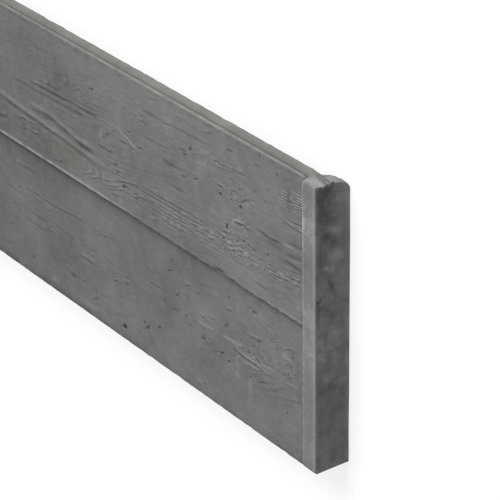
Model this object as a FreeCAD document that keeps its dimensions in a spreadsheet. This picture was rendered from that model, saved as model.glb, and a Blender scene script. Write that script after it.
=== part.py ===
"""Concrete gravel board for a slotted-post fence, cast as one piece.

The board lies on its flat back, the open side of its mould. X runs along its length, Y from
its bottom edge to its top edge, and Z from the back, at 0, to the moulded front. The origin
is under the middle of the board. All sizes are millimetres.
"""
import FreeCAD
import Part
import Sketcher
import os

NODE = "gravel_board"

# Driving dimensions, each with the cell alias that carries it
SIZES = {
    "board_length": 1840.0,        # end to end, for posts 1.8 m apart
    "board_height": 260.0,         # bottom edge to the shoulder beside the bead
    "board_thickness": 35.0,       # back to the face of the end margins, the post slot's fit
    "margin_width": 16.0,          # plain margin at each end, the part that a post slot covers
    "margin_stand": 0.5,           # margin's face over the planks' lower edges
    "plank_height": 131.5,         # bottom edge to the step between the two moulded planks
    "plank_fall": 3.0,             # how much deeper a plank's upper edge lies than its lower one
    "step_draft": 0.8,             # lean of the step's wall, so that the mould lets go
    "bead_front": 6.0,             # face of the margins to the front of the bead
    "bead_width": 10.0,            # bead along the top edge, front to back
    "bead_height": 4.0,            # shoulder to the crest of the bead
    "bead_setback": 2.0,           # each end face to the end of the bead
    "rebate_depth": 18.0,          # shoulder down to the floor of the rebate behind the bead
    "toe_radius": 3.0,             # rounded lower edge of the front
    "back_corner_radius": 8.0,     # worn-off corner between the top and the back, at the ends
    "end_arris_radius": 0.6,       # arris round each end face
    "moulded_arris_radius": 1.0,   # step and front shoulder
}

# Places worked out from the sizes
BOTTOM = "-(sizes.board_height + sizes.bead_height) / 2"
SHOULDER = f"({BOTTOM} + sizes.board_height)"
STEP = f"({BOTTOM} + sizes.plank_height)"
PLANK_LOW_EDGE = "(sizes.board_thickness - sizes.margin_stand)"
PLANK_TOP_EDGE = f"({PLANK_LOW_EDGE} - sizes.plank_fall)"
CREST = f"({SHOULDER} + sizes.bead_height)"
BEAD_FRONT = "(sizes.board_thickness - sizes.bead_front)"
BEAD_BACK = f"({BEAD_FRONT} - sizes.bead_width)"
# The bead's two upper edges are rounded nearly down to the shoulder
BEAD_ROUND = "0.9 * sizes.bead_height"
MARGIN_TO_MARGIN = "sizes.board_length - 2 * sizes.margin_width"
# A cutting outline passes the surface that it opens by this much
OVERCUT = "sizes.margin_width / 4"

# How close an edge lies to the place it is looked up by
EDGE_REACH = 0.01


def make_sheet(doc):
    """Write the driving dimensions to a sheet whose cells carry their names."""
    sheet = doc.addObject("Spreadsheet::Sheet", "sizes")
    for row, (name, size) in enumerate(SIZES.items(), start=1):
        sheet.set(f"A{row}", name)
        sheet.set(f"B{row}", str(size))
        sheet.setAlias(f"B{row}", name)
    doc.recompute()
    return sheet


def value(sheet, formula):
    """Work out a formula of the sheet's sizes as a plain number."""
    return float(sheet.evalExpression(formula))


def new_section(body, name):
    """Add an empty sketch on the board's cross-section plane: sketch x is Y, sketch y is Z."""
    sketch = body.newObject("Sketcher::SketchObject", name)
    plane = next(item for item in body.Origin.OriginFeatures if item.Role == "YZ_Plane")
    sketch.AttachmentSupport = [(plane, "")]
    sketch.MapMode = "FlatFace"
    return sketch


def place_point(sketch, sheet, geometry, vertex, formulas):
    """Hold one sketch point at a place given by two formulas."""
    for kind, formula in zip(("DistanceX", "DistanceY"), formulas):
        origin = (-1, 1)
        size = value(sheet, formula)
        index = sketch.addConstraint(Sketcher.Constraint(kind, *origin, geometry, vertex, size))
        sketch.setExpression(f"Constraints[{index}]", formula)


def draw_outline(body, sheet, name, corners):
    """Draw a closed outline of straight lines whose corners are formulas of the sizes."""
    sketch = new_section(body, name)
    points = [FreeCAD.Vector(value(sheet, y), value(sheet, z), 0) for y, z in corners]
    count = len(points)
    for index in range(count):
        sketch.addGeometry(Part.LineSegment(points[index], points[(index + 1) % count]))
    for index in range(count):
        following = (index + 1) % count
        sketch.addConstraint(Sketcher.Constraint("Coincident", index, 2, following, 1))
    for index, formulas in enumerate(corners):
        place_point(sketch, sheet, index, 1, formulas)
    return sketch


def run_along(body, kind, name, sketch, length):
    """Run a section along the board, half to each side of the middle, as a Pad or a Pocket."""
    feature = body.newObject(f"PartDesign::{kind}", name)
    feature.Profile = sketch
    feature.Type = "Length"
    feature.SideType = "Symmetric"
    feature.setExpression("Length", length)
    body.Document.recompute()
    return feature


def edges_at(shape, places):
    """Name the edges whose middles lie at the given places; None leaves a coordinate free."""
    names = []
    for number, edge in enumerate(shape.Edges, start=1):
        middle = edge.valueAt((edge.FirstParameter + edge.LastParameter) / 2)
        for place in places:
            pairs = [(at, wanted) for at, wanted in zip(middle, place) if wanted is not None]
            if all(abs(at - wanted) < EDGE_REACH for at, wanted in pairs):
                names.append(f"Edge{number}")
    return names


def round_edges(body, name, base, places, radius):
    """Round the edges of a feature that lie at the given places."""
    feature = body.newObject("PartDesign::Fillet", name)
    feature.Base = (base, edges_at(base.Shape, places))
    feature.setExpression("Radius", radius)
    body.Document.recompute()
    return feature


def check_cut(before, after):
    """Stop if a cut took nothing away."""
    if after.Shape.Volume >= before.Shape.Volume:
        raise RuntimeError(f"{after.Name} cuts nothing")


def make_blank(body, sheet):
    """Cast outline of the board, with its rounded edges and without its mouldings."""
    outline = draw_outline(body, sheet, "blank_section", [
        (BOTTOM, "0"),
        (SHOULDER, "0"),
        (SHOULDER, "sizes.board_thickness"),
        (BOTTOM, "sizes.board_thickness"),
    ])
    blank = run_along(body, "Pad", "blank", outline, "sizes.board_length")
    bottom = value(sheet, BOTTOM)
    shoulder = value(sheet, SHOULDER)
    thickness = value(sheet, "sizes.board_thickness")
    half_length = value(sheet, "sizes.board_length / 2")
    corner = round_edges(body, "back_corner", blank, [(None, shoulder, 0)],
                         "sizes.back_corner_radius")
    toe = round_edges(body, "toe", corner, [(None, bottom, thickness)], "sizes.toe_radius")
    ends = [(side * half_length, None, None) for side in (-1, 1)]
    return round_edges(body, "end_arris", toe, ends, "sizes.end_arris_radius")


def make_planks(body, sheet, base):
    """Sink two overlapping planks into the front, between the end margins."""
    outline = draw_outline(body, sheet, "plank_section", [
        (f"{BOTTOM} - {OVERCUT}", PLANK_LOW_EDGE),
        (BOTTOM, PLANK_LOW_EDGE),
        (f"{STEP} - sizes.step_draft", PLANK_TOP_EDGE),
        (STEP, PLANK_LOW_EDGE),
        (SHOULDER, PLANK_TOP_EDGE),
        (f"{SHOULDER} + {OVERCUT}", PLANK_TOP_EDGE),
        (f"{SHOULDER} + {OVERCUT}", f"sizes.board_thickness + {OVERCUT}"),
        (f"{BOTTOM} - {OVERCUT}", f"sizes.board_thickness + {OVERCUT}"),
    ])
    planks = run_along(body, "Pocket", "planks", outline, MARGIN_TO_MARGIN)
    check_cut(base, planks)
    arrises = [
        (None, value(sheet, STEP), value(sheet, PLANK_LOW_EDGE)),
        (0, value(sheet, SHOULDER), value(sheet, PLANK_TOP_EDGE)),
    ]
    return round_edges(body, "moulded_arris", planks, arrises, "sizes.moulded_arris_radius")


def make_rebate(body, sheet, base):
    """Cut the rebate behind the top edge, stopped by the full-thickness ends."""
    outline = draw_outline(body, sheet, "rebate_section", [
        (f"{SHOULDER} - sizes.rebate_depth", f"-({OVERCUT})"),
        (f"{SHOULDER} + {OVERCUT}", f"-({OVERCUT})"),
        (f"{SHOULDER} + {OVERCUT}", BEAD_BACK),
        (f"{SHOULDER} - sizes.rebate_depth", BEAD_BACK),
    ])
    rebate = run_along(body, "Pocket", "rebate", outline, MARGIN_TO_MARGIN)
    check_cut(base, rebate)
    return rebate


def make_bead(body, sheet):
    """Run the rounded bead along the top edge, flush with the wall of the rebate."""
    outline = draw_outline(body, sheet, "bead_section", [
        (SHOULDER, BEAD_BACK),
        (CREST, BEAD_BACK),
        (CREST, BEAD_FRONT),
        (SHOULDER, BEAD_FRONT),
    ])
    length = "sizes.board_length - 2 * sizes.bead_setback"
    bead = run_along(body, "Pad", "bead", outline, length)
    crest = value(sheet, CREST)
    uppers = [(None, crest, value(sheet, side)) for side in (BEAD_FRONT, BEAD_BACK)]
    return round_edges(body, "bead_round", bead, uppers, BEAD_ROUND)


def make_board(doc, sheet):
    """Build the whole board as one body."""
    body = doc.addObject("PartDesign::Body", NODE)
    body.Label = NODE
    blank = make_blank(body, sheet)
    planks = make_planks(body, sheet, blank)
    make_rebate(body, sheet, planks)
    body.Tip = make_bead(body, sheet)
    return body


def write_checked(doc, body):
    """Write the board's solid once every step of it is sound."""
    doc.recompute()
    for item in doc.Objects:
        if "Invalid" in item.State or "Error" in item.State:
            raise RuntimeError(f"{item.Name} failed: {item.State}")
    shape = body.Shape
    if shape.isNull() or not shape.isValid() or len(shape.Solids) != 1:
        raise RuntimeError(f"{body.Label} is not one valid solid")
    os.makedirs("parts", exist_ok=True)
    shape.exportStep(f"parts/{body.Label}.step")
    box = shape.optimalBoundingBox(False, False)
    print(f"{body.Label}: {box.XLength:.1f} x {box.YLength:.1f} x {box.ZLength:.1f} mm,",
          f"{shape.Volume / 1e6:.3f} litres, {len(shape.Faces)} faces")


document = FreeCAD.newDocument(NODE)
size_sheet = make_sheet(document)
board = make_board(document, size_sheet)
write_checked(document, board)
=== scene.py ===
"""Concrete gravel board: its cast surface, its finish, and a plain studio around it.

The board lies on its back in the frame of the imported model: X along its length, Y from its bottom
edge to its top edge, Z out of the moulded face. Sizes are millimetres, and become metres where the
finished mesh, a lamp or the camera takes them. Places on the face are given as a distance from the
near end, at +X, and a height over the bottom edge.
"""
from __future__ import annotations

import logging
import math
from dataclasses import dataclass
from enum import Enum, auto

import bmesh
import bpy
from mathutils import Matrix, Vector, noise


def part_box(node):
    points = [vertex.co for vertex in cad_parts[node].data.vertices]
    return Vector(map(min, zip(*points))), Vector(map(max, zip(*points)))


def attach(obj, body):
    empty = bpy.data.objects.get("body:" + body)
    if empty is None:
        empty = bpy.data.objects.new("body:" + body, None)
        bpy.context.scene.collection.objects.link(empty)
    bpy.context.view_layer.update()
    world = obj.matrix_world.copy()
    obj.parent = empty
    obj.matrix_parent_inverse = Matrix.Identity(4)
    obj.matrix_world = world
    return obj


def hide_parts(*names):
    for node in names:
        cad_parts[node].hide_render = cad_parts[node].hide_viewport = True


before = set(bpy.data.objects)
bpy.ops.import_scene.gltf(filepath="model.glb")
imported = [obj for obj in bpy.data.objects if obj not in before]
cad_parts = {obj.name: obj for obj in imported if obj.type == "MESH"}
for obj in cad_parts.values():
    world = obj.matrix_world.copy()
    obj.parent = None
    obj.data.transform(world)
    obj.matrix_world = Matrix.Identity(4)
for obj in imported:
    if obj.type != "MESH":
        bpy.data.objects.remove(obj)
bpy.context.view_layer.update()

MM = 0.001
TINY = 1e-3
REACH = 2.2
LIP_AT = 1.9
# The dark skin attribute holds dirt and painted shade; the pale one, rubbed skin and painted highlights.
SKIN = ("rub_and_highlight", "dirt_and_shade", "wood", "line", "rough", "warm")
NODE = "gravel_board"

log = logging.getLogger("gravel_board")


def linear(hex_colour: str) -> tuple[float, float, float, float]:
    """Turn an sRGB hex colour into linear RGBA.

    Args:
        hex_colour: Colour as "#rrggbb".

    Returns:
        Linear red, green, blue and an alpha of 1.
    """
    parts = [int(hex_colour[i:i + 2], 16) / 255 for i in (1, 3, 5)]
    red, green, blue = (p / 12.92 if p <= 0.04045 else ((p + 0.055) / 1.055) ** 2.4 for p in parts)
    return red, green, blue, 1.0


def clamp(value: float, low: float = 0.0, high: float = 1.0) -> float:
    """Keep a value between two limits."""
    return max(low, min(high, value))


def smooth(low: float, high: float, value: float) -> float:
    """Rise smoothly from 0 at low to 1 at high."""
    t = clamp((value - low) / (high - low))
    return t * t * (3 - 2 * t)


def ripple(x: float, y: float, z: float) -> float:
    """Give smooth noise from about -1 to 1 at a place."""
    return noise.noise(Vector((x, y, z)))


def patchy(ground: float, swing: float, x: float, y: float, z: float) -> float:
    """Give patches from 0 to 1: smooth noise at a place, by its swing about a ground level."""
    return clamp(ground + swing * ripple(x, y, z))


def bell(value: float, middle: float, width: float) -> float:
    """Give 1 at a middle, and about a third at a width from it."""
    return math.exp(-((value - middle) / width) ** 2)


def spread(along: float, up: float) -> float:
    """Give 1 at a patch's middle, and fade by the distances from it in shares of the patch's size."""
    return math.exp(-along * along - up * up)


def groove(across: float, lip: float) -> float:
    """Give the depth of a groove with a lip over it, by the distance from its middle in widths."""
    return bell(across, 0, 1) - lip * bell(across, LIP_AT, 1)


def turned(along: float, up: float, degrees: float) -> tuple[float, float]:
    """Turn a place on the face.

    Args:
        along: Distance towards the near end.
        up: Distance upwards.
        degrees: How much the marks there lean upwards.

    Returns:
        Distances along and across the marks.
    """
    cos, sin = math.cos(math.radians(degrees)), math.sin(math.radians(degrees))
    return cos * along + sin * up, cos * up - sin * along


def add_node(tree: bpy.types.NodeTree, kind: str, settings: dict | None = None,
             links: dict | None = None) -> bpy.types.Node:
    """Add a node to a tree.

    Args:
        tree: Node tree that takes the node.
        kind: Node type, such as "ShaderNodeTexNoise".
        settings: Values by the name of a property, or by the name or number of an input.
        links: Output sockets by the name or number of the input that they feed.

    Returns:
        The new node.
    """
    node = tree.nodes.new(kind)
    for name, value in (settings or {}).items():
        if isinstance(name, int) or name in node.inputs:
            node.inputs[name].default_value = value
        else:
            setattr(node, name, value)
    for name, socket in (links or {}).items():
        tree.links.new(socket, node.inputs[name])
    return node


def maths(tree: bpy.types.NodeTree, operation: str,
          *values: bpy.types.NodeSocket | float) -> bpy.types.NodeSocket:
    """Add a math node to a tree.

    Args:
        tree: Node tree that takes the node.
        operation: What the node does, such as "MULTIPLY".
        values: Its inputs in their order, each a number or a socket.

    Returns:
        Socket with the result.
    """
    numbers = {k: value for k, value in enumerate(values) if isinstance(value, float)}
    sockets = {k: value for k, value in enumerate(values) if k not in numbers}
    return add_node(tree, "ShaderNodeMath", {"operation": operation, **numbers}, sockets).outputs["Value"]


class Side(Enum):
    """Which side of the board a point of the plain cast lies on."""

    BOTTOM = auto()
    FRONT = auto()
    SHOULDER = auto()
    BEAD = auto()
    BACK_TOP = auto()
    BACK = auto()
    END = auto()


@dataclass(frozen=True)
class BoardSizes:
    """Sizes of the cast board and of its mouldings, in millimetres."""

    half_length: float
    bottom: float
    crest: float
    thickness: float
    margin: float = 16.0
    margin_stand: float = 0.5
    margin_draft: float = 0.8
    plank: float = 131.5
    plank_fall: float = 3.0
    step_draft: float = 0.8
    bead_front: float = 6.0
    bead_width: float = 10.0
    bead_height: float = 4.0
    rebate_depth: float = 18.0
    toe: float = 3.0
    back_corner: float = 8.0
    end_arris: float = 0.5
    arris: float = 1.2

    @classmethod
    def from_frame(cls, node: str) -> BoardSizes:
        """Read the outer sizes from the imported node.

        Args:
            node: Name of the board's node.

        Returns:
            The sizes of the board.
        """
        low, high = (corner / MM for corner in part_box(node))
        return cls(half_length=high.x, bottom=low.y, crest=high.y, thickness=high.z)

    @property
    def shoulder(self) -> float:
        """Y of the flat top beside the bead."""
        return self.crest - self.bead_height

    @property
    def bead_foot(self) -> float:
        """Z of the bead's front foot."""
        return self.thickness - self.bead_front

    @property
    def bead_back(self) -> float:
        """Z of the bead's back, which is flush with the rebate's wall."""
        return self.bead_foot - self.bead_width

    @property
    def bead_round(self) -> float:
        """Radius of the bead's two upper edges."""
        return 0.9 * self.bead_height

    @property
    def step(self) -> float:
        """Y of the arris between the two planks."""
        return self.bottom + self.plank

    @property
    def rebate_floor(self) -> float:
        """Y of the rebate's floor."""
        return self.shoulder - self.rebate_depth

    @property
    def inner(self) -> float:
        """Distance from the middle of the board to the inner edge of a margin."""
        return self.half_length - self.margin


@dataclass(frozen=True)
class Knot:
    """A knot of the wood that the face was moulded from, with the grain flowing round it."""

    from_end: float
    height: float
    radius: float
    run: float
    push: float
    long: float = 1.6
    eye_depth: float = 0.36
    eye_rings: float = 1.2
    eye_fade: float = 2.5

    def eye(self, from_end: float, height: float) -> float:
        """Work out how deep the knot's own rings are at a point, in millimetres."""
        reach = math.hypot((from_end - self.from_end) / self.long, height - self.height) / self.radius
        rings = math.cos(math.tau * self.eye_rings * reach)
        return self.eye_depth * math.exp(-self.eye_fade * reach * reach) * rings


@dataclass(frozen=True)
class Arch:
    """Growth rings that close in an arch, which points to the near end."""

    from_end: float
    height: float
    rise: float
    span: float
    pitch: float
    depth: float

    def at(self, from_end: float, height: float) -> float:
        """Work out how deep the rings are at a point.

        Args:
            from_end: Distance from the near end.
            height: Height over the bottom edge.

        Returns:
            Depth in millimetres, less than 0 between two rings.
        """
        up = (height - self.height) / self.rise
        ring = (from_end - self.from_end - self.span * up * up) / self.pitch
        if not -0.5 < ring < 2.5 or abs(up) > 1.8:
            return 0.0
        return self.depth * smooth(2.5, 1.0, ring) * smooth(1.8, 0.8, abs(up)) * -math.cos(math.tau * ring)


@dataclass(frozen=True)
class Furrow:
    """A furrow of the grain with a raised lip over it, by points from its far end to its near end."""

    path: tuple[tuple[float, float], ...]
    depth: float = 0.4
    width: float = 1.2
    taper: float = 10.0
    lip: float = 0.6

    def at(self, from_end: float, height: float) -> float:
        """Work out how deep the furrow is at a point.

        Args:
            from_end: Distance from the near end.
            height: Height over the bottom edge.

        Returns:
            Depth in millimetres, less than 0 on the lip.
        """
        start, end = self.path[0][0], self.path[-1][0]
        if not end < from_end < start:
            return 0.0
        for (far, high), (near, low) in zip(self.path, self.path[1:]):
            if from_end >= near:
                middle = low + (high - low) * (from_end - near) / (far - near)
                across = (height - middle) / self.width
                if not -REACH < across < REACH + 2:
                    return 0.0
                fade = min(1.0, (from_end - end) / self.taper, (start - from_end) / self.taper)
                return self.depth * fade * groove(across, self.lip)
        return 0.0


@dataclass(frozen=True)
class Dash:
    """A short stroke of the grain with a raised lip over it, leaning up towards the near end."""

    from_end: float
    height: float
    run: float
    depth: float = 0.6
    width: float = 1.0
    lean: float = 8.0
    lip: float = 0.6

    def at(self, from_end: float, height: float) -> float:
        """Work out how deep the stroke is at a point.

        Args:
            from_end: Distance from the near end.
            height: Height over the bottom edge.

        Returns:
            Depth in millimetres, less than 0 on the lip.
        """
        nearer, higher = self.from_end - from_end, height - self.height
        reach = 2 * self.run + 4 * self.width
        if abs(nearer) > reach or abs(higher) > reach:
            return 0.0
        along, across = turned(nearer / self.run, higher / self.run, self.lean)
        across *= self.run / self.width
        return self.depth * bell(along, 0, 1) * groove(across, self.lip)


@dataclass(frozen=True)
class RoughPatch:
    """A place where the wood was torn, so that the face is full of short dashes."""

    from_end: float
    height: float
    run: float
    rise: float
    amount: float

    def at(self, from_end: float, height: float) -> float:
        """Work out how rough the patch makes a point.

        Args:
            from_end: Distance from the near end.
            height: Height over the bottom edge.

        Returns:
            Roughness from 0 to the patch's amount.
        """
        along = (from_end - self.from_end) / self.run
        up = (height - self.height) / self.rise
        if abs(along) > REACH or abs(up) > REACH:
            return 0.0
        return self.amount * spread(along, up)


@dataclass(frozen=True)
class Stain:
    """A soft patch of the skin that is darker than the rest or, with an amount under 0, paler.

    Its place is a distance along the face from the near end, or on an end from the back, and a
    height over the bottom edge.
    """

    along: float
    height: float
    run: float
    rise: float
    amount: float
    lean: float = 0.0

    def at(self, along: float, height: float) -> float:
        """Work out how much darker the stain makes a point.

        Args:
            along: Distance from the near end, or on an end from the back.
            height: Height over the bottom edge.

        Returns:
            Share of darkening, less than 0 where the stain is paler.
        """
        reach = REACH * max(self.run, self.rise)
        nearer, higher = self.along - along, height - self.height
        if abs(nearer) > reach or abs(higher) > reach:
            return 0.0
        nearer, higher = turned(nearer, higher, self.lean)
        return self.amount * spread(nearer / self.run, higher / self.rise)


@dataclass(frozen=True)
class SawMarks:
    """A patch of evenly spaced marks that the saw left on the wood."""

    near: float
    far: float
    low: float
    high: float
    pitch: float
    depth: float
    edge: float = 3.0

    def covers(self, from_end: float, height: float, room: float) -> bool:
        """Tell whether a point lies on the patch, or at its ends within some room of it."""
        level = self.low - self.edge < height < self.high + self.edge
        return level and self.near - room < from_end < self.far + room + 2

    def at(self, from_end: float, height: float) -> float:
        """Work out how deep the marks are at a point.

        Args:
            from_end: Distance from the near end.
            height: Height over the bottom edge.

        Returns:
            Depth in millimetres, less than 0 between two marks.
        """
        if not self.covers(from_end, height, self.edge):
            return 0.0
        ragged = from_end + 5 * ripple(height / 3, 1.2, self.pitch)
        share = smooth(self.far + 2, self.far - self.edge, ragged)
        share *= smooth(self.near - self.edge, self.near, from_end)
        share *= smooth(self.low - self.edge, self.low + 1, height)
        share *= smooth(self.high + self.edge, self.high - 1, height)
        share *= patchy(0.7, 1.3, from_end / 3.4, height / self.pitch, 2 * self.pitch)
        slant = height + 0.03 * from_end + 0.6 * ripple(from_end / 9, height / 7, self.pitch)
        return self.depth * share * math.cos(math.tau * slant / self.pitch)


@dataclass(frozen=True)
class Blowhole:
    """An air bubble that burst in the cast face and left a pit."""

    from_end: float
    height: float
    radius: float
    long: float = 1.5
    deep: float = 0.8
    lean: float = 25.0
    reach: float = 8.0

    def touches(self, from_end: float, height: float) -> bool:
        """Tell whether a point lies in the pit or right beside it."""
        room = 1.4 * self.radius
        return abs(from_end - self.from_end) < 2 + room * self.long and abs(height - self.height) < 1 + room

    def at(self, from_end: float, height: float) -> float:
        """Work out how deep the pit is at a point.

        Args:
            from_end: Distance from the near end.
            height: Height over the bottom edge.

        Returns:
            Depth in millimetres.
        """
        if abs(self.from_end - from_end) >= self.reach:
            return 0.0
        along, across = turned((self.from_end - from_end) / self.radius,
                               (height - self.height) / self.radius, self.lean)
        along /= self.long
        ragged = 1 + 0.6 * ripple(from_end / self.radius, height / self.radius, 3.7)
        inside = 1 - ragged * (along * along + across * across)
        return self.deep * self.radius * math.sqrt(inside) if inside > 0 else 0.0


@dataclass(frozen=True)
class Nick:
    """A place where the arris of the step broke away."""

    from_end: float
    width: float
    rise: float
    deep: float = 2.4

    def at(self, from_end: float, over: float) -> float:
        """Work out how deep the break is at a height over the step, in millimetres."""
        return self.deep * bell(from_end, self.from_end, self.width) * clamp(1.3 - over / self.rise)


@dataclass(frozen=True)
class WoodRelief:
    """Weathered wood that the mould took its face from.

    All lengths are millimetres: each run is along the grain, and each rise or pitch across it.
    """

    seed: float
    knots: tuple[Knot, ...] = ()
    furrows: tuple[Furrow, ...] = ()
    patches: tuple[RoughPatch, ...] = ()
    saw_marks: tuple[SawMarks, ...] = ()
    arches: tuple[Arch, ...] = ()
    dashes: tuple[Dash, ...] = ()
    torn: float = 0.18
    torn_swing: float = 0.4
    proud: float = 0.45
    drift: float = 3.0
    drift_run: float = 240.0
    drift_rise: float = 60.0
    slant: float = 0.1
    streak_run: float = 45.0
    streak_pitch: float = 4.6
    streak_depth: float = 0.16
    dash_run: float = 8.0
    dash_pitch: float = 2.3
    dash_depth: float = 1.1
    dash_quiet: float = 0.15
    dash_least: float = 0.12
    speck_run: float = 3.0
    speck_pitch: float = 1.2
    speck_depth: float = 0.66
    ring_pitch: float = 4.4
    ring_depth: float = 0.3
    patch_run: float = 150.0
    patch_rise: float = 22.0

    def line(self, from_end: float, height: float) -> float:
        """Find which growth line passes a point.

        Args:
            from_end: Distance from the near end.
            height: Height over the bottom edge.

        Returns:
            The height that the line has far from every knot.
        """
        wander = ripple(from_end / self.drift_run, height / self.drift_rise, self.seed)
        at = height + self.drift * wander
        for knot in self.knots:
            along = (from_end - knot.from_end) / knot.run
            up = height - knot.height
            fade = spread(along, up / (3.2 * knot.radius))
            at -= knot.push * math.tanh(up / knot.radius) * fade
        return at

    def rough(self, from_end: float, height: float) -> float:
        """Work out how torn the wood is at a point.

        Args:
            from_end: Distance from the near end.
            height: Height over the bottom edge.

        Returns:
            0 for smooth wood to 1 for torn wood.
        """
        patch = ripple(from_end / self.patch_run, height / self.patch_rise, self.seed + 19)
        torn = self.torn + self.torn_swing * max(0.0, patch) + self.torn_patch(from_end, height)
        for knot in self.knots:
            along = (from_end - knot.from_end) / (knot.long * knot.radius)
            up = (height - knot.height) / knot.radius
            torn *= 1 - 0.8 * spread(along, up)
        return clamp(torn)

    def torn_patch(self, from_end: float, height: float) -> float:
        """Add up how rough the torn patches make a point."""
        return sum(patch.at(from_end, height) for patch in self.patches)

    def depth(self, from_end: float, height: float) -> float:
        """Work out how deep the grain lies at a point.

        Args:
            from_end: Distance from the near end.
            height: Height over the bottom edge.

        Returns:
            Depth under the plank's own plane, in millimetres, and less than 0 on a raised line.
        """
        at = self.line(from_end, height)
        streak = ripple(from_end / self.streak_run, at / self.streak_pitch, self.seed + 7)
        lean = (at + self.slant * from_end) / self.dash_pitch
        dash = ripple(from_end / self.dash_run, lean, self.seed + 13)
        dash = math.copysign(max(0.0, abs(dash) - self.dash_quiet), dash)
        ring = (0.5 + 0.5 * math.cos(math.tau * (at / self.ring_pitch + 0.4 * streak))) ** 2
        total = self.streak_depth * streak
        total += self.dash_depth * dash * (self.dash_least + self.rough(from_end, height))
        torn = self.torn_patch(from_end, height)
        if torn > 0.1:
            lean = (at + 2 * self.slant * from_end) / self.speck_pitch
            total += self.speck_depth * torn * ripple(from_end / self.speck_run, lean, self.seed + 23)
        total += self.ring_depth * ring * self._near_knot(from_end, height)
        marks = (*self.furrows, *self.dashes, *self.saw_marks, *self.arches)
        total += sum(mark.at(from_end, height) for mark in marks)
        total += sum(knot.eye(from_end, height) for knot in self.knots)
        return max(-self.proud, total)

    def _near_knot(self, from_end: float, height: float) -> float:
        """Tell how much a knot crowds the growth rings at a point.

        Args:
            from_end: Distance from the near end.
            height: Height over the bottom edge.

        Returns:
            Share from 0 to 1.
        """
        crowd = 0.0
        for knot in self.knots:
            along = (from_end - knot.from_end) / (1.5 * knot.run)
            up = (abs(height - knot.height) - 1.4 * knot.radius) / knot.radius
            crowd += spread(along, up)
        return min(1.0, crowd)


@dataclass
class SectionPen:
    """Draws a section as a chain of edges by extruding and spinning its last vertex."""

    mesh: bmesh.types.BMesh
    tip: bmesh.types.BMVert

    def line(self, y: float, z: float, rows: int) -> None:
        """Draw a straight stretch.

        Args:
            y: Y of its end.
            z: Z of its end.
            rows: Number of equal edges in it.
        """
        row = (Vector((self.tip.co.x, y, z)) - self.tip.co) / rows
        for _ in range(rows):
            self.tip = bmesh.ops.extrude_vert_indiv(self.mesh, verts=[self.tip])["verts"][0]
            bmesh.ops.translate(self.mesh, vec=row, verts=[self.tip])

    def arc(self, y: float, z: float, degrees: float, rows: int) -> None:
        """Draw a round stretch.

        Args:
            y: Y of its centre.
            z: Z of its centre.
            degrees: Turn about +X.
            rows: Number of equal edges in it.
        """
        grown = bmesh.ops.spin(self.mesh, geom=[self.tip], cent=(self.tip.co.x, y, z), axis=(1, 0, 0),
                               dvec=(0, 0, 0), angle=math.radians(degrees), steps=rows,
                               use_merge=False, use_duplicate=False)
        self.tip = next(v for v in grown["geom_last"] if isinstance(v, bmesh.types.BMVert))


@dataclass(frozen=True)
class SkinPoint:
    """Where a point of the plain cast ends up, and what its skin is like there.

    The growth line that passes it is in metres. The rest goes from 0 to 1: how far the skin is
    paler, from rubbing and from painted highlights on arrises; how far it is darker, from dirt and
    from painted shade in creases, corners, pits and under the step; how far it is moulded from wood
    and torn with that wood; and how far it is warmer than plain grey.
    """

    place: Vector
    rub_and_highlight: float = 0.0
    dirt_and_shade: float = 0.0
    wood: float = 0.0
    line: float = 0.0
    rough: float = 0.0
    warm: float = 0.0


@dataclass(frozen=True)
class FaceSpot:
    """A place on the planks, and what the mould and the wear left there.

    Lengths are millimetres. The tone is a share of darkening, less than 0 where the skin is paler.
    """

    from_end: float
    height: float
    over: float
    from_margin: float
    wood: WoodRelief
    grain: float
    pit: float
    broken: float
    tone: float


@dataclass(frozen=True)
class Wear:
    """How the board has worn, and where shade and highlights are painted on: lengths in millimetres,
    and shares from 0 to 1 of paler or darker skin.
    """

    step_drop: float = 1.0
    step_drop_near: float = 0.4
    step_reach: float = 3.5
    step_round: float = 0.7
    step_from: float = -0.1
    step_shade: float = 0.45
    step_rub_and_highlight: float = 0.12
    step_rub_and_highlight_far: float = 0.7
    step_rub_and_highlight_near: float = 0.35
    break_shade: float = 0.3
    grain_rub: float = 0.6
    grain_rub_most: float = 0.35
    saw_rub: float = 0.5
    grain_darkening: float = 0.5
    pit_shade: float = 0.45
    far_darkening: float = 0.1
    corner_shade: float = 0.3
    foot_shade: float = 0.25
    foot_shade_far: float = 0.3
    top_arris_rub: float = 0.22
    top_arris_soil: float = 0.2
    toe_chip: float = 1.1
    top_chip: float = 1.3
    ledge_lift: float = 0.7
    ledge_corner: float = 2.2
    ledge_foot_shade: float = 0.25
    top_rub: float = 0.14
    end_fall: float = 1.3
    bead_full: float = 0.7
    bead_most: float = 0.83
    bead_foot_shade: float = 0.3
    stub_end: float = 17.0
    stub_full: float = 10.0
    margin_arris_highlight: float = 0.6
    end_arris_highlight: float = 0.35
    top_end_rub: float = 0.3
    end_soil: float = 0.075
    top_warm: float = 0.4
    bead_warm: float = 0.45


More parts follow.
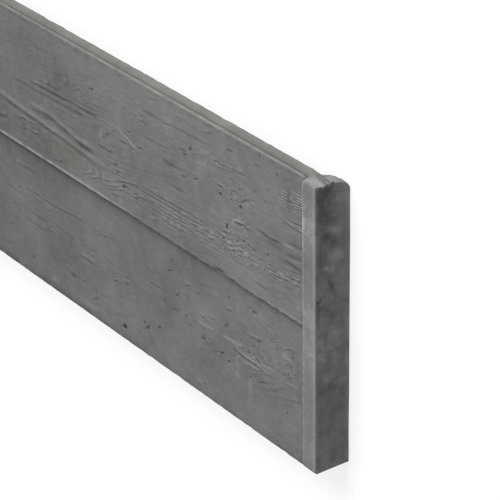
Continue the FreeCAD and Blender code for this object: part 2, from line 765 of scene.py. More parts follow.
@dataclass
class GravelBoard:
    """The cast board, as one closed mesh with its mouldings, grain, pits and worn arrises."""

    sizes: BoardSizes
    upper: WoodRelief
    lower: WoodRelief
    blowholes: tuple[Blowhole, ...]
    nicks: tuple[Nick, ...]
    stains: tuple[Stain, ...]
    end_stains: tuple[Stain, ...]
    warmth: tuple[Stain, ...]
    wear: Wear = Wear()
    upper_row: float = 1.0
    lower_row: float = 1.3
    near_reach: float = 500.0
    near_cuts: int = 188
    far_cuts: int = 50
    margin_cuts: int = 7
    arris_strip: float = 1.2
    cap_cell: float = 3.0
    cap_corners: int = 50
    fine_room: float = 2.0
    fine_torn: float = 0.36
    sharp: float = 28.0

    def build(self) -> bpy.types.Object:
        """Model the board.

        Returns:
            The board's object, at the origin.
        """
        mesh = bmesh.new()
        self._cast(mesh)
        self._refine(mesh)
        self._sculpt(mesh)
        bmesh.ops.recalc_face_normals(mesh, faces=mesh.faces)
        bmesh.ops.scale(mesh, vec=(MM, MM, MM), verts=mesh.verts)
        for face in mesh.faces:
            face.smooth = True
        for edge in mesh.edges:
            edge.smooth = edge.calc_face_angle(0.0) < math.radians(self.sharp)
        data = bpy.data.meshes.new("cast_board")
        mesh.to_mesh(data)
        mesh.free()
        board = bpy.data.objects.new("cast_board", data)
        bpy.context.scene.collection.objects.link(board)
        return board

    def _section(self, mesh: bmesh.types.BMesh) -> bmesh.types.BMFace:
        """Draw the section of an end margin at the far end.

        Args:
            mesh: Mesh that takes it.

        Returns:
            The section's face.
        """
        s = self.sizes
        pen = SectionPen(mesh, mesh.verts.new((-s.half_length, s.bottom, 0)))
        pen.line(s.bottom, s.thickness - s.toe, 4)
        pen.arc(s.bottom + s.toe, s.thickness - s.toe, -90, 6)
        pen.line(s.step - s.step_draft, s.thickness, round((s.plank - s.toe) / self.lower_row))
        pen.line(s.step, s.thickness, 2)
        pen.line(s.step + s.arris, s.thickness, 3)
        pen.line(s.shoulder - s.arris, s.thickness, round((s.shoulder - s.step) / self.upper_row))
        pen.arc(s.shoulder - s.arris, s.thickness - s.arris, -90, 4)
        pen.line(s.shoulder, s.bead_foot, 4)
        pen.line(s.crest - s.bead_round, s.bead_foot, 1)
        pen.arc(s.crest - s.bead_round, s.bead_foot - s.bead_round, -90, 5)
        pen.line(s.crest, s.bead_back + s.bead_round, 2)
        pen.arc(s.crest - s.bead_round, s.bead_back + s.bead_round, -90, 5)
        pen.line(s.shoulder, s.bead_back, 1)
        pen.line(s.shoulder, s.back_corner, 8)
        pen.arc(s.shoulder - s.back_corner, s.back_corner, -90, 4)
        pen.line(s.rebate_floor, 0, 4)
        pen.line(s.bottom, 0, 7)
        bmesh.ops.remove_doubles(mesh, verts=mesh.verts, dist=TINY)
        made = bmesh.ops.contextual_create(mesh, geom=mesh.edges)
        return made["faces"][0]

    def _cast(self, mesh: bmesh.types.BMesh) -> None:
        """Run the section along the board, with cuts as close as each stretch needs.

        Args:
            mesh: Mesh that takes the board.
        """
        s = self.sizes
        between = 2 * (s.inner - s.margin_draft)
        near = self.near_reach - s.margin - s.margin_draft
        stretches = (
            (s.margin - self.arris_strip, self.margin_cuts),
            (self.arris_strip, 1),
            (s.margin_draft, 0),
            (between - near, self.far_cuts),
            (near, self.near_cuts),
            (s.margin_draft, 0),
            (self.arris_strip, 1),
            (s.margin - self.arris_strip, self.margin_cuts),
        )
        first = last = self._section(mesh)
        runs = []
        for length, cuts in stretches:
            grown = bmesh.ops.extrude_face_region(mesh, geom=[last])["geom"]
            moved = [item for item in grown if isinstance(item, bmesh.types.BMVert)]
            bmesh.ops.translate(mesh, vec=(length, 0, 0), verts=moved)
            if last is not first:
                bmesh.ops.delete(mesh, geom=[last], context="FACES_ONLY")
            last = next(item for item in grown if isinstance(item, bmesh.types.BMFace))
            along = [edge for vert in moved for edge in vert.link_edges
                     if abs(edge.verts[0].co.x - edge.verts[1].co.x) > TINY]
            runs.append((along, cuts))
        for along, cuts in runs:
            if cuts:
                bmesh.ops.subdivide_edges(mesh, edges=along, cuts=cuts, use_grid_fill=True)
        rims = [edge for face in (first, last) for edge in face.edges]
        bmesh.ops.bevel(mesh, geom=rims, offset=s.end_arris, offset_type="OFFSET", segments=2,
                        profile=0.5, affect="EDGES", material=-1)
        self._cut_caps(mesh)

    def _cut_caps(self, mesh: bmesh.types.BMesh) -> None:
        """Cut both end faces into cells, so that they can take dents.

        Args:
            mesh: Mesh of the board.
        """
        s = self.sizes
        caps = [face for face in mesh.faces if len(face.verts) > self.cap_corners]
        cells = [*caps, *dict.fromkeys(edge for face in caps for edge in face.edges),
                 *dict.fromkeys(vert for face in caps for vert in face.verts)]
        height, depth = s.shoulder - s.bottom, s.thickness
        for count, start, way in ((round(height / self.cap_cell), s.bottom, Vector((0, 1, 0))),
                                  (round(depth / self.cap_cell), 0.0, Vector((0, 0, 1)))):
            reach = height if way.y else depth
            for k in range(1, count):
                cut = bmesh.ops.bisect_plane(mesh, geom=cells, dist=TINY, plane_no=way,
                                             plane_co=way * (start + reach * k / count))
                cells = cut["geom"]

    def _refine(self, mesh: bmesh.types.BMesh) -> None:
        """Cut the face finer round each blowhole, across the saw marks and where the wood was torn.

        Args:
            mesh: Mesh of the board, still unsculpted.
        """
        s = self.sizes
        pitted, worked = [], []
        for face in mesh.faces:
            middle = face.calc_center_median()
            if middle.z < s.thickness - TINY or middle.x > s.inner:
                continue
            from_end, height = s.half_length - middle.x, middle.y - s.bottom
            if from_end > self.near_reach:
                continue
            wood = self.upper if height > s.plank else self.lower
            if any(hole.touches(from_end, height) for hole in self.blowholes):
                pitted.append(face)
            elif (wood.torn_patch(from_end, height) > self.fine_torn
                  or any(marks.covers(from_end, height, self.fine_room) for marks in wood.saw_marks)):
                worked.append(face)
        around = dict.fromkeys(edge for face in pitted for edge in face.edges)
        across = dict.fromkeys(edge for face in worked for edge in face.edges if edge not in around)
        bmesh.ops.subdivide_edges(mesh, edges=list(across), cuts=1, use_grid_fill=True)
        bmesh.ops.subdivide_edges(mesh, edges=list(around), cuts=2, use_grid_fill=True)

    def _side(self, at: Vector) -> Side:
        """Tell which side of the plain cast a point lies on.

        Args:
            at: Its place.

        Returns:
            The side.
        """
        s = self.sizes
        x, y, z = at
        if y > s.shoulder + TINY:
            return Side.BEAD
        if z > s.thickness - s.toe - TINY and y < s.bottom + s.toe:
            return Side.FRONT
        if z > s.thickness - s.arris - TINY:
            return Side.FRONT
        if z > s.bead_foot - TINY and y > s.shoulder - s.arris:
            return Side.SHOULDER
        if y > s.rebate_floor + TINY and z < s.bead_back - TINY:
            return Side.BACK_TOP
        if z < TINY:
            return Side.BACK
        if y < s.bottom + TINY:
            return Side.BOTTOM
        return Side.END if abs(x) > s.inner else Side.BACK_TOP

    def _sculpt(self, mesh: bmesh.types.BMesh) -> None:
        """Press the mouldings, the grain and the wear into the plain cast.

        Args:
            mesh: Mesh of the board.
        """
        layers = [(name, mesh.verts.layers.float.new(name)) for name in SKIN]
        for vert in mesh.verts:
            side = self._side(vert.co)
            if abs(vert.co.x) < self.sizes.inner - self.sizes.margin_draft / 2:
                point = self._plank_point(vert.co, side)
            else:
                point = self._margin_point(vert.co, side)
            vert.co = point.place
            for name, layer in layers:
                vert[layer] = getattr(point, name)

    def _plank_point(self, at: Vector, side: Side) -> SkinPoint:
        """Move a point between the margins to where the mould puts it.

        Args:
            at: Its place in the plain cast.
            side: Side of the cast that it lies on.

        Returns:
            Its place and its skin.
        """
        s = self.sizes
        x, y, z = at
        if side is Side.FRONT:
            return self._face_point(at)
        if side is Side.SHOULDER:
            return self._ledge_point(at)
        if side is Side.BEAD:
            place = Vector((x, self._bead_height(at), z))
            rub_and_highlight = self.wear.top_rub * smooth(s.bead_foot - 2, s.bead_back + 3, z)
            return SkinPoint(place, rub_and_highlight, self._bead_foot_shade(y, z), 0.9, (y + z) * MM, warm=self.wear.bead_warm)
        if side is Side.BACK_TOP:
            return SkinPoint(self._rebate_place(at))
        return SkinPoint(self._plain_place(at))

    def _ledge_point(self, at: Vector) -> SkinPoint:
        """Move a point of the ledge in front of the bead.

        Args:
            at: Its place in the plain cast.

        Returns:
            Its place and its skin.
        """
        s = self.sizes
        x, y, z = at
        flat = s.thickness - s.arris - s.bead_foot
        sunk = s.margin_stand + s.plank_fall
        depth = s.bead_foot + (z - s.bead_foot) * (1 - sunk / flat)
        # Painted shade along the bead's foot, and in the notch where the ledge meets each margin.
        foot = bell(z, s.bead_foot, 1.2)
        corner = 0.5 * smooth(23, 17, s.half_length - abs(x))
        rub_and_highlight = self.wear.top_rub * (1 - foot) * patchy(0.5, 1.0, x / 6, 0.4, 8.8)
        dirt_and_shade = clamp(self.wear.ledge_foot_shade * foot + corner)
        place = Vector((x, y - self._top_fall(x, z), depth))
        return SkinPoint(place, rub_and_highlight, dirt_and_shade, 0.7, warm=self.wear.top_warm)

    def _face_point(self, at: Vector) -> SkinPoint:
        """Move a point of the two planks.

        Args:
            at: Its place in the plain cast.

        Returns:
            Its place and its skin.
        """
        s = self.sizes
        x, y, z = at
        spot = self._face_spot(at)
        along, height = spot.from_end, spot.height
        top = s.shoulder - y
        y += self._step_shift(spot)
        y += (self._top_lift(x) - self._top_chip(x)) * smooth(3.0, 0.5, top)
        chip = clamp(1 - height / (1.6 * s.toe)) * max(0.0, ripple(along / 8, height / 5, 0.3))
        sunk = s.margin_stand + self._plank_fall(spot) + self.wear.toe_chip * chip
        place = Vector((x, y, z - sunk - spot.broken - spot.grain - spot.pit))
        line, rough = spot.wood.line(along, height) * MM, spot.wood.rough(along, height)
        warm = clamp(sum(stain.at(along, height) for stain in self.warmth))
        rub_and_highlight, dirt_and_shade = self._face_rub_and_highlight(spot, top), self._face_dirt_and_shade(spot, top)
        return SkinPoint(place, rub_and_highlight, dirt_and_shade, 1.0, line, rough, warm)

    def _face_spot(self, at: Vector) -> FaceSpot:
        """Look up what the mould and the wear left at a place on the planks.

        Args:
            at: The place in the plain cast.

        Returns:
            The place with its relief and its tone.
        """
        s = self.sizes
        from_end, height = s.half_length - at.x, at.y - s.bottom
        over = height - s.plank
        wood = self.upper if over > -s.step_draft else self.lower
        # The grain ends short of the step, whose draft is plain.
        share = smooth(0, 4, over) if over >= 0 else smooth(0, -5, over + s.step_draft)
        return FaceSpot(
            from_end, height, over, from_margin=s.inner - abs(at.x), wood=wood,
            grain=share * wood.depth(from_end, height),
            pit=max(hole.at(from_end, height) for hole in self.blowholes),
            broken=self._step_break(from_end, over) if over > self.wear.step_from else 0.0,
            tone=sum(stain.at(from_end, height) for stain in self.stains))

    def _step_break(self, from_end: float, over: float) -> float:
        """Work out how deep the step's arris is broken at a height over it, in millimetres."""
        ragged = smooth(330, 220, from_end) * patchy(0.4, 1.2, from_end / 5, 3.1, 0.7)
        return max(ragged * clamp(1.2 - over / 1.8), *(nick.at(from_end, over) for nick in self.nicks))

    def _step_shift(self, spot: FaceSpot) -> float:
        """Work out how far the step's line wanders upwards at a place, less than 0 for downwards.

        Args:
            spot: The place on the planks.

        Returns:
            The shift in millimetres, which fades away from the step.
        """
        wander = 0.4 * ripple(spot.from_end / 34, 1.7, 0.4) + 0.3 * ripple(spot.from_end / 6, 4.1, 0.9)
        drop = self.wear.step_drop + self.wear.step_drop_near * smooth(300, 150, spot.from_end)
        return (wander - drop) * bell(spot.over, 0, self.wear.step_reach)

    def _plank_fall(self, spot: FaceSpot) -> float:
        """Work out how far a plank leans back at a place.

        Args:
            spot: The place on the planks.

        Returns:
            Depth in millimetres under the plank's lower edge.
        """
        s = self.sizes
        if spot.over < -s.step_draft - TINY:
            less = 1 - 0.35 * bell(spot.from_margin, 0, 10)
            return s.plank_fall * less * spot.height / (s.plank - s.step_draft)
        if spot.over < 0:
            return s.plank_fall * -spot.over / s.step_draft
        rounding = self.wear.step_round * clamp(1 - spot.over / s.arris) ** 2
        return s.plank_fall * spot.over / (s.shoulder - s.step) + rounding

    def _face_rub_and_highlight(self, spot: FaceSpot, top: float) -> float:
        """Tell how far the skin of the planks is rubbed pale.

        Args:
            spot: The place on the planks.
            top: Its distance from the shoulder's level.

        Returns:
            Share from 0 to 1: most on raised grain, on the top arris and on the step's arris, where a
            highlight is painted too.
        """
        w, wood = self.wear, spot.wood
        along, height = spot.from_end, spot.height
        sawn = sum(marks.at(along, height) for marks in wood.saw_marks)
        most = w.grain_rub_most - 0.22 * clamp(wood.torn_patch(along, height))
        rub_and_highlight = max(0.0, -spot.tone)
        rub_and_highlight += clamp(-w.grain_rub * spot.grain - 0.06, 0, most) + clamp(-w.saw_rub * sawn, 0, 0.4)
        rub_and_highlight += w.top_arris_rub * smooth(1.6, 0.3, top) * patchy(0.5, 1.2, along / 5, 0.6, 3.2)
        # The pale line along the step's arris is rubbed skin and a painted highlight.
        if spot.over > w.step_from:
            worn = w.step_rub_and_highlight + w.step_rub_and_highlight_far * smooth(220, 330, along)
            worn += w.step_rub_and_highlight_near * smooth(75, 25, along)
            rub_and_highlight += worn * bell(spot.over, 1.9, 1.0) * patchy(0.85, 0.9, along / 9, 2.2, 0.1)
        return clamp(rub_and_highlight)

    def _face_dirt_and_shade(self, spot: FaceSpot, top: float) -> float:
        """Tell how dark the skin of the planks is, from dirt and from painted shade.

        Args:
            spot: The place on the planks.
            top: Its distance from the shoulder's level.

        Returns:
            Share from 0 to 1: stains, deep grain and a darkening away from the near end, with painted
            shade in the blowholes, in the corner by each margin, in breaks of the step's arris, under the
            step and along the bottom edge.
        """
        w, along = self.wear, spot.from_end
        # The planks grow darker away from the near end.
        dirt_and_shade = max(0.0, spot.tone) + w.far_darkening * smooth(120, 430, along)
        # Darker in deep grain, and painted shade in the blowholes.
        dirt_and_shade += clamp(w.grain_darkening * spot.grain - 0.08, 0, 0.35) + clamp(w.pit_shade * spot.pit, 0, 0.65)
        # Painted shade in the corner where the plank meets each margin, and in breaks of the step's arris.
        dirt_and_shade += w.corner_shade * bell(spot.from_margin, 0, 1.3) + w.break_shade * clamp(spot.broken)
        dirt_and_shade += w.top_arris_soil * bell(top, 2.6, 1.0) * patchy(0.2, 1.5, along / 6, 5.3, 1.2)
        # Painted shade along the bottom edge, whose rounding turns down away from the lamp.
        foot = bell(spot.height, 0, 6) * patchy(0.6, 1.1, along / 7, spot.height / 2.5, 5.5)
        dirt_and_shade += (w.foot_shade + w.foot_shade_far * smooth(220, 330, along)) * foot
        # Painted shade under the overhang of the step.
        under = spot.over + self.sizes.step_draft
        if under < -TINY:
            dirt_and_shade += w.step_shade * math.exp(under / 3)
            dirt_and_shade += (0.12 + 0.1 * smooth(100, 330, along)) * math.exp(under / 8)
        return clamp(dirt_and_shade)

    def _top_fall(self, x: float, z: float) -> float:
        """Work out how far the top lies under the shoulder's level.

        Args:
            x: X of the place.
            z: Z of the place.

        Returns:
            The fall in millimetres: small on the moulded ledge, more on the hand-worked block behind it.
        """
        s = self.sizes
        inward = s.half_length - abs(x)
        ledge = 0.2 + 0.2 * ripple(x / 11, z / 6, 3.3) - self._top_lift(x)
        ledge += self.wear.end_fall * smooth(14, 0, inward)
        ledge += self._top_chip(x) * bell(z, s.thickness, 2.5)
        ledge += self.wear.ledge_corner * bell(inward, s.margin, 3.0) * bell(z, s.thickness, 3.2)
        ledge += 0.14 * (s.thickness - z) * smooth(9.0, 0.0, inward)
        way = 1 - z / s.bead_back
        block = 1.4 + 3.0 * way + 0.07 * inward * way
        block += 0.8 * ripple(x / 4.5, z / 4.5, 4.4) + 0.4 * ripple(x / 2, z / 2, 9.4)
        block += smooth(6, 0, inward) * (0.9 - 2.2 * bell(z, s.bead_back - 1.5, 2.0))
        return ledge + (block - ledge) * smooth(s.bead_back + 3, s.bead_back, z)

    def _top_chip(self, x: float) -> float:
        """Work out how much of the front shoulder's arris has chipped off, in millimetres."""
        between = smooth(self.sizes.margin, self.sizes.margin + 3, self.sizes.half_length - abs(x))
        return self.wear.top_chip * between * max(0.0, ripple(x / 7, 6.1, 0.2) - 0.1)

    def _top_lift(self, x: float) -> float:
        """Work out how far the ledge between the margins swells over its level, in millimetres."""
        inward = self.sizes.half_length - abs(x)
        return self.wear.ledge_lift * smooth(self.sizes.margin, self.sizes.margin + 6, inward)

    def _bead_height(self, at: Vector) -> float:
        """Work out the Y of a point on the bead, which is lower and broken at the board's ends.

        Args:
            at: Its place in the plain cast.

        Returns:
            Its Y on the worn bead.
        """
        s = self.sizes
        x, y, z = at
        inward = s.half_length - abs(x)
        full = self.wear.bead_full - 0.05 * math.exp(-inward / 90) + 0.05 * ripple(x / 40, z / 9, 5.2)
        full += 0.22 * ripple(x / 9, z / 8, 2.3) + 0.1 * ripple(x / 3.5, z / 5, 7.7)
        broken = 0.65 + 0.35 * smooth(0.2, 3.0, inward + 0.9 * ripple(z / 2.5, y / 2.5, 1.5))
        stub = s.bead_back + 4 + 1.2 * ripple(x / 3, y / 3, 1.5)
        broken *= 1 - self._at_stub(inward) * smooth(stub, stub + 2.5, z)
        low = s.shoulder - self._top_fall(x, max(z, s.bead_back + 3))
        return low + (y - s.shoulder) * min(self.wear.bead_most, full) * broken

    def _at_stub(self, inward: float) -> float:
        """Tell how far a place lies on the stub at the bead's end, from 0 to 1."""
        return smooth(self.wear.stub_end, self.wear.stub_full, inward)

    def _bead_foot_shade(self, y: float, z: float) -> float:
        """Tell how much shade is painted on the bead's front.

        Args:
            y: Y of the place.
            z: Z of the place.

        Returns:
            Share of painted shade from 0 to 1: most at the foot of the bead's front.
        """
        s = self.sizes
        low = 1 - (y - s.shoulder) / s.bead_height
        front = smooth(s.bead_foot - s.bead_round, s.bead_foot, z)
        return self.wear.bead_foot_shade * front * (0.3 + 0.7 * low)

    def _rebate_place(self, at: Vector) -> Vector:
        """Fold a point of the top's back corner into the rebate's wall and floor.

        Args:
            at: Its place in the plain cast.

        Returns:
            Its place in the rebate.
        """
        s = self.sizes
        x, y, z = at
        corner_y, corner_z = s.shoulder - s.back_corner, s.back_corner
        if z > corner_z - TINY:
            way = 0.5 * (s.bead_back - z) / (s.bead_back - corner_z)
        elif y > corner_y + TINY:
            way = 0.5 + 0.25 * math.atan2(corner_z - z, y - corner_y) / (math.pi / 2)
        else:
            way = 0.75 + 0.25 * (corner_y - y) / (corner_y - s.rebate_floor)
        if way < 0.5:
            return Vector((x, s.shoulder - 2 * way * s.rebate_depth, s.bead_back))
        return Vector((x, s.rebate_floor, 2 * (1 - way) * s.bead_back))

    def _plain_place(self, at: Vector) -> Vector:
        """Roughen a point of the bottom edge or the back, which were left plain.

        Args:
            at: Its place in the plain cast.

        Returns:
            Its place, never outside the plain cast.
        """
        s = self.sizes
        x, y, z = at
        inward = s.half_length - abs(x)
        ragged = 0.15 + 0.45 * smooth(30, 0, inward)
        z += max(0.0, 0.1 + ragged * ripple(x / 16, y / 16, 8.3)) * clamp(1 - z / 6)
        y += max(0.0, 0.1 + 0.3 * ripple(x / 25, z / 12, 2.9)) * clamp(1 - (y - s.bottom) / s.toe)
        return Vector((x, y, z))

    def _margin_point(self, at: Vector, side: Side) -> SkinPoint:
        """Move a point of an end margin or an end face.

        Args:
            at: Its place in the plain cast.
            side: Side of the cast that it lies on.

        Returns:
            Its place and its skin.
        """
        s = self.sizes
        x, y, z = at
        inward = s.half_length - abs(x)
        if side is Side.BEAD:
            top = self._bead_height(at)
            rub_and_highlight, dirt_and_shade, wood = self._stub_skin(at)
        else:
            top = y - self._top_fall(x, z) * smooth(s.shoulder - 24, s.shoulder, y)
            rub_and_highlight, dirt_and_shade = self._margin_skin(at, side)
            wood = 0.0
        inset = smooth(1.0, 6.0, min(y - s.bottom, z, s.thickness - z, s.shoulder - y))
        dent = 0.4 + 1.3 * ripple(y / 16, z / 11, 3.4) + 0.7 * ripple(y / 6, z / 6, 7.1)
        x -= math.copysign(max(0.0, dent) * smooth(1.5, 0.0, inward) * inset, x)
        if side is Side.FRONT:
            z -= 0.1 + 0.1 * ripple(x / 22, y / 40, 6.6)
        return SkinPoint(self._plain_place(Vector((x, top, z))), clamp(rub_and_highlight), dirt_and_shade, wood)

    def _stub_skin(self, at: Vector) -> tuple[float, float, float]:
        """Tell what the skin is like on the bead over an end margin.

        Args:
            at: The place in the plain cast.

        Returns:
            How far it is rubbed pale, how much shade is painted on it at the bead's foot and at the
            stub's foot, and how far it is moulded from wood, each from 0 to 1.
        """
        s = self.sizes
        x, y, z = at
        inward = s.half_length - abs(x)
        stub = self._at_stub(inward) * smooth(s.bead_back + 4, s.bead_back + 6.5, z)
        rub_and_highlight = self.wear.top_end_rub * stub
        rub_and_highlight += 0.8 * smooth(6, 1, inward) * patchy(0.0, 1.5, x / 2.5, z / 2.2, 4.9)
        dirt_and_shade = self._bead_foot_shade(y, z) * (1 - stub) * smooth(4, 16, inward)
        # Painted shade at the foot of the stub.
        dirt_and_shade += 0.45 * self._at_stub(inward) * bell(z, s.bead_back + 5, 1.3)
        return rub_and_highlight, dirt_and_shade, 0.9 * (1 - stub)

    def _margin_skin(self, at: Vector, side: Side) -> tuple[float, float]:
        """Tell what the skin is like on an end margin or an end face.

        Args:
            at: The place in the plain cast.
            side: Side of the cast that it lies on.

        Returns:
            How far it is paler, from rubbing, from painted highlights on its arrises and from painted
            light along the end's back edge, and how far it is darker.
        """
        s = self.sizes
        x, y, z = at
        inward = s.half_length - abs(x)
        rub_and_highlight, dirt_and_shade = 0.0, 0.0
        if side is Side.FRONT:
            # Painted highlights along the margin's inner arris and along the end's front arris.
            rub_and_highlight = self.wear.margin_arris_highlight * bell(inward, s.margin, 0.9) * patchy(0.7, 1.2, y / 4, 1.1, 4.8)
            rub_and_highlight += self.wear.end_arris_highlight * bell(inward, 0.8, 1.6) + 0.14 * ripple(x / 3.5, y / 45, 2.6)
            tone = sum(stain.at(inward, y - s.bottom) for stain in self.stains) if x > 0 else 0.0
            rub_and_highlight, dirt_and_shade = rub_and_highlight + max(0.0, -tone), max(0.0, tone)
        elif side is Side.SHOULDER:
            rub_and_highlight = self.wear.top_end_rub
        elif side is Side.BACK_TOP and y > s.shoulder - s.back_corner:
            rub_and_highlight = self.wear.top_end_rub * patchy(0.8, 1.0, x / 4, z / 4, 5.8)
        if inward < s.end_arris / 2:
            tone = self._end_tone(at)
            rub_and_highlight, dirt_and_shade = rub_and_highlight + max(0.0, -tone), max(0.0, tone) * smooth(0.3, 1.2, s.thickness - z)
        return rub_and_highlight, dirt_and_shade

    def _end_tone(self, at: Vector) -> float:
        """Tell how dark an end face is.

        Args:
            at: The place in the plain cast.

        Returns:
            Share of darkening up to 1, less than 0 where the face is paler, as on the painted light
            along the back edge.
        """
        x, y, z = at
        blots = ripple(y / 9, z / 7, 6.2) + 0.7 * ripple(y / 4.5, z / 4, 1.9)
        # The strip along the back edge is painted lighter, to offset the shade that the floor casts there.
        tone = self.wear.end_soil + 0.14 * blots - 0.4 * bell(z, 0, 3)
        if x > 0:
            tone += sum(stain.at(z, y - self.sizes.bottom) for stain in self.end_stains)
        return clamp(tone, -0.6, 0.9)


@dataclass(frozen=True)
class CastConcrete:
    """Grey cement cast against a mould.

    The eye sees a matt, even grey skin with soft clouds, sand showing as a fine speckle, small
    pinholes drawn dark as painted shade, darker hollows where dirt stays and where shade is painted
    under the step, in creases and in corners, pale arrises where the skin is rubbed off and where
    highlights are painted, and faintly warm patches.
    """

    name: str = "cast_concrete"
    greys: tuple[tuple[float, str], ...] = (
        (0.31, "#636363"), (0.59, "#757575"), (0.9, "#848484"), (1.0, "#929292"))
    # Dark grey for dirt, for painted shade and for the pinholes.
    hollow: str = "#262626"
    # Pale grey for rubbed skin and for painted highlights.
    pale_and_highlight: str = "#b4b4b2"
    warm: str = "#fffaee"
    cloud: float = 70.0
    mottle: float = 9.0
    sand: float = 1.6
    grit: float = 3.5
    speck: float = 2.4
    fibre_run: float = 8.0
    fibre_pitch: float = 1.6
    pinhole: float = 9.0
    pinhole_rare: float = 0.62
    tear: float = 3.6
    tear_rare: float = 0.52
    bump: float = 0.5
    roughness: float = 0.9
    shine: float = 0.0

    def material(self) -> bpy.types.Material:
        """Make the material.

        Returns:
            The material, reading Object coordinates and the attributes of the board's skin.
        """
        made = bpy.data.materials.new(self.name)
        made.use_nodes = True
        tree = made.node_tree
        tree.nodes.clear()
        place = add_node(tree, "ShaderNodeTexCoord").outputs["Object"]
        skin = {name: add_node(tree, "ShaderNodeAttribute", {"attribute_name": name}).outputs["Fac"]
                for name in SKIN}
        # Sand under 1 mm is too fine for the render, so its speckle is drawn coarser.
        sand = self._speckle(tree, place, self.sand, 2.0)
        torn = self._torn(tree, place, skin)
        bare = maths(tree, "SUBTRACT", 1.0, skin["wood"])
        grit = maths(tree, "MULTIPLY", self._speckle(tree, place, self.grit, 3.0), bare)
        ragged = add_node(tree, "ShaderNodeMapRange", {"From Min": 0.35, "From Max": 0.7},
                          {"Value": skin["rough"]})
        # Pinholes, drawn dark as painted shade in holes too small to model.
        few = self._pinholes(tree, place, self.pinhole, self.pinhole_rare, skin["wood"])
        many = self._pinholes(tree, place, self.tear, self.tear_rare, ragged.outputs["Result"])
        pin = maths(tree, "MAXIMUM", few, many)
        tone = self._tone(tree, place, (
            (sand, 0.2), (torn, 0.7), (grit, 0.35), (skin["wood"], -0.15), (bare, -0.15)))
        worn = self._blend(tree, skin["rub_and_highlight"], tone, self.pale_and_highlight)
        tint = self._blend(tree, skin["warm"], worn, self.warm, "MULTIPLY")
        # Dirt, painted shade and the pinholes take the dark grey.
        colour = self._blend(tree, maths(tree, "MAXIMUM", skin["dirt_and_shade"], pin), tint, self.hollow)
        relief = self._total(tree, ((sand, 0.5), (torn, 2.2), (grit, 1.6), (pin, -0.8)))
        bump = add_node(tree, "ShaderNodeBump", {"Strength": self.bump, "Distance": self.bump * MM},
                        {"Height": relief})
        shader = add_node(tree, "ShaderNodeBsdfPrincipled",
                          {"Roughness": self.roughness, "Specular IOR Level": self.shine},
                          {"Base Color": colour, "Normal": bump.outputs["Normal"]})
        add_node(tree, "ShaderNodeOutputMaterial", None, {"Surface": shader.outputs["BSDF"]})
        return made

    def _blend(self, tree: bpy.types.NodeTree, share: bpy.types.NodeSocket, ground: bpy.types.NodeSocket,
               colour: str, way: str = "MIX") -> bpy.types.NodeSocket:
        """Blend a colour over another one.

        Args:
            tree: Node tree of the material.
            share: Socket with how much of the colour there is.
            ground: Socket with the colour under it.
            colour: The colour as "#rrggbb".
            way: Blend type of the mix node.

        Returns:
            Socket with the blended colour.
        """
        mix = add_node(tree, "ShaderNodeMix",
                       {"data_type": "RGBA", "blend_type": way, 7: linear(colour)}, {0: share, 6: ground})
        return mix.outputs[2]

    def _speckle(self, tree: bpy.types.NodeTree, place: bpy.types.NodeSocket, size: float,
                 detail: float) -> bpy.types.NodeSocket:
        """Add a noise whose spots have a size in millimetres."""
        spots = add_node(tree, "ShaderNodeTexNoise",
                         {"Scale": 1 / (size * MM), "Detail": detail, "Roughness": 0.6}, {"Vector": place})
        return spots.outputs["Fac"]

    def _total(self, tree: bpy.types.NodeTree,
               parts: tuple[tuple[bpy.types.NodeSocket, float], ...]) -> bpy.types.NodeSocket:
        """Add sockets up, each by its share.

        Args:
            tree: Node tree of the material.
            parts: Sockets with their shares.

        Returns:
            Socket with the sum.
        """
        total = 0.0
        for socket, share in parts:
            total = maths(tree, "MULTIPLY_ADD", socket, share, total)
        return total

    def _torn(self, tree: bpy.types.NodeTree, place: bpy.types.NodeSocket,
              skin: dict[str, bpy.types.NodeSocket]) -> bpy.types.NodeSocket:
        """Draw the fine fibre of the wood along its growth lines, with specks where it was torn.

        Args:
            tree: Node tree of the material.
            place: Object coordinates.
            skin: Attributes of the board's skin.

        Returns:
            Socket with the noise about 0, stronger where the wood was rough.
        """
        apart = add_node(tree, "ShaderNodeSeparateXYZ", None, {0: place})
        along = add_node(tree, "ShaderNodeCombineXYZ", None, {0: apart.outputs["X"], 1: skin["line"]})
        closeness = (1 / (self.fibre_run * MM), 1 / (self.fibre_pitch * MM), 0)
        stretch = add_node(tree, "ShaderNodeVectorMath", {"operation": "MULTIPLY", 1: closeness},
                           {0: along.outputs["Vector"]})
        fibre = add_node(tree, "ShaderNodeTexNoise", {"Scale": 1.0, "Detail": 3.0, "Roughness": 0.6},
                         {"Vector": stretch.outputs["Vector"]})
        specks = self._speckle(tree, place, self.speck, 1.0)
        both = self._total(tree, ((fibre.outputs["Fac"], 1.0), (specks, 0.7)))
        share = maths(tree, "MULTIPLY_ADD", skin["rough"], 0.8, 0.14)
        on_wood = maths(tree, "MULTIPLY", share, skin["wood"])
        return maths(tree, "MULTIPLY", maths(tree, "SUBTRACT", both, 0.85), on_wood)

    def _pinholes(self, tree: bpy.types.NodeTree, place: bpy.types.NodeSocket, apart: float,
                  rare: float, where: bpy.types.NodeSocket) -> bpy.types.NodeSocket:
        """Scatter pinholes of half a millimetre to a millimetre.

        Args:
            tree: Node tree of the material.
            place: Object coordinates.
            apart: Distance between possible pinholes in millimetres.
            rare: From 0, where nearly each of them is there, to 1, where none is.
            where: 1 where they are and 0 elsewhere.

        Returns:
            Socket that is 1 inside a pinhole.
        """
        cells = add_node(tree, "ShaderNodeTexVoronoi", {"Scale": 1 / (apart * MM)}, {"Vector": place})
        hole = add_node(tree, "ShaderNodeMapRange",
                        {"From Min": 0.45 / apart, "From Max": 1.0 / apart, "To Min": 0.9, "To Max": 0.0},
                        {"Value": cells.outputs["Distance"]})
        pick = maths(tree, "GREATER_THAN", cells.outputs["Color"], rare)
        return maths(tree, "MULTIPLY", maths(tree, "MULTIPLY", hole.outputs["Result"], pick), where)

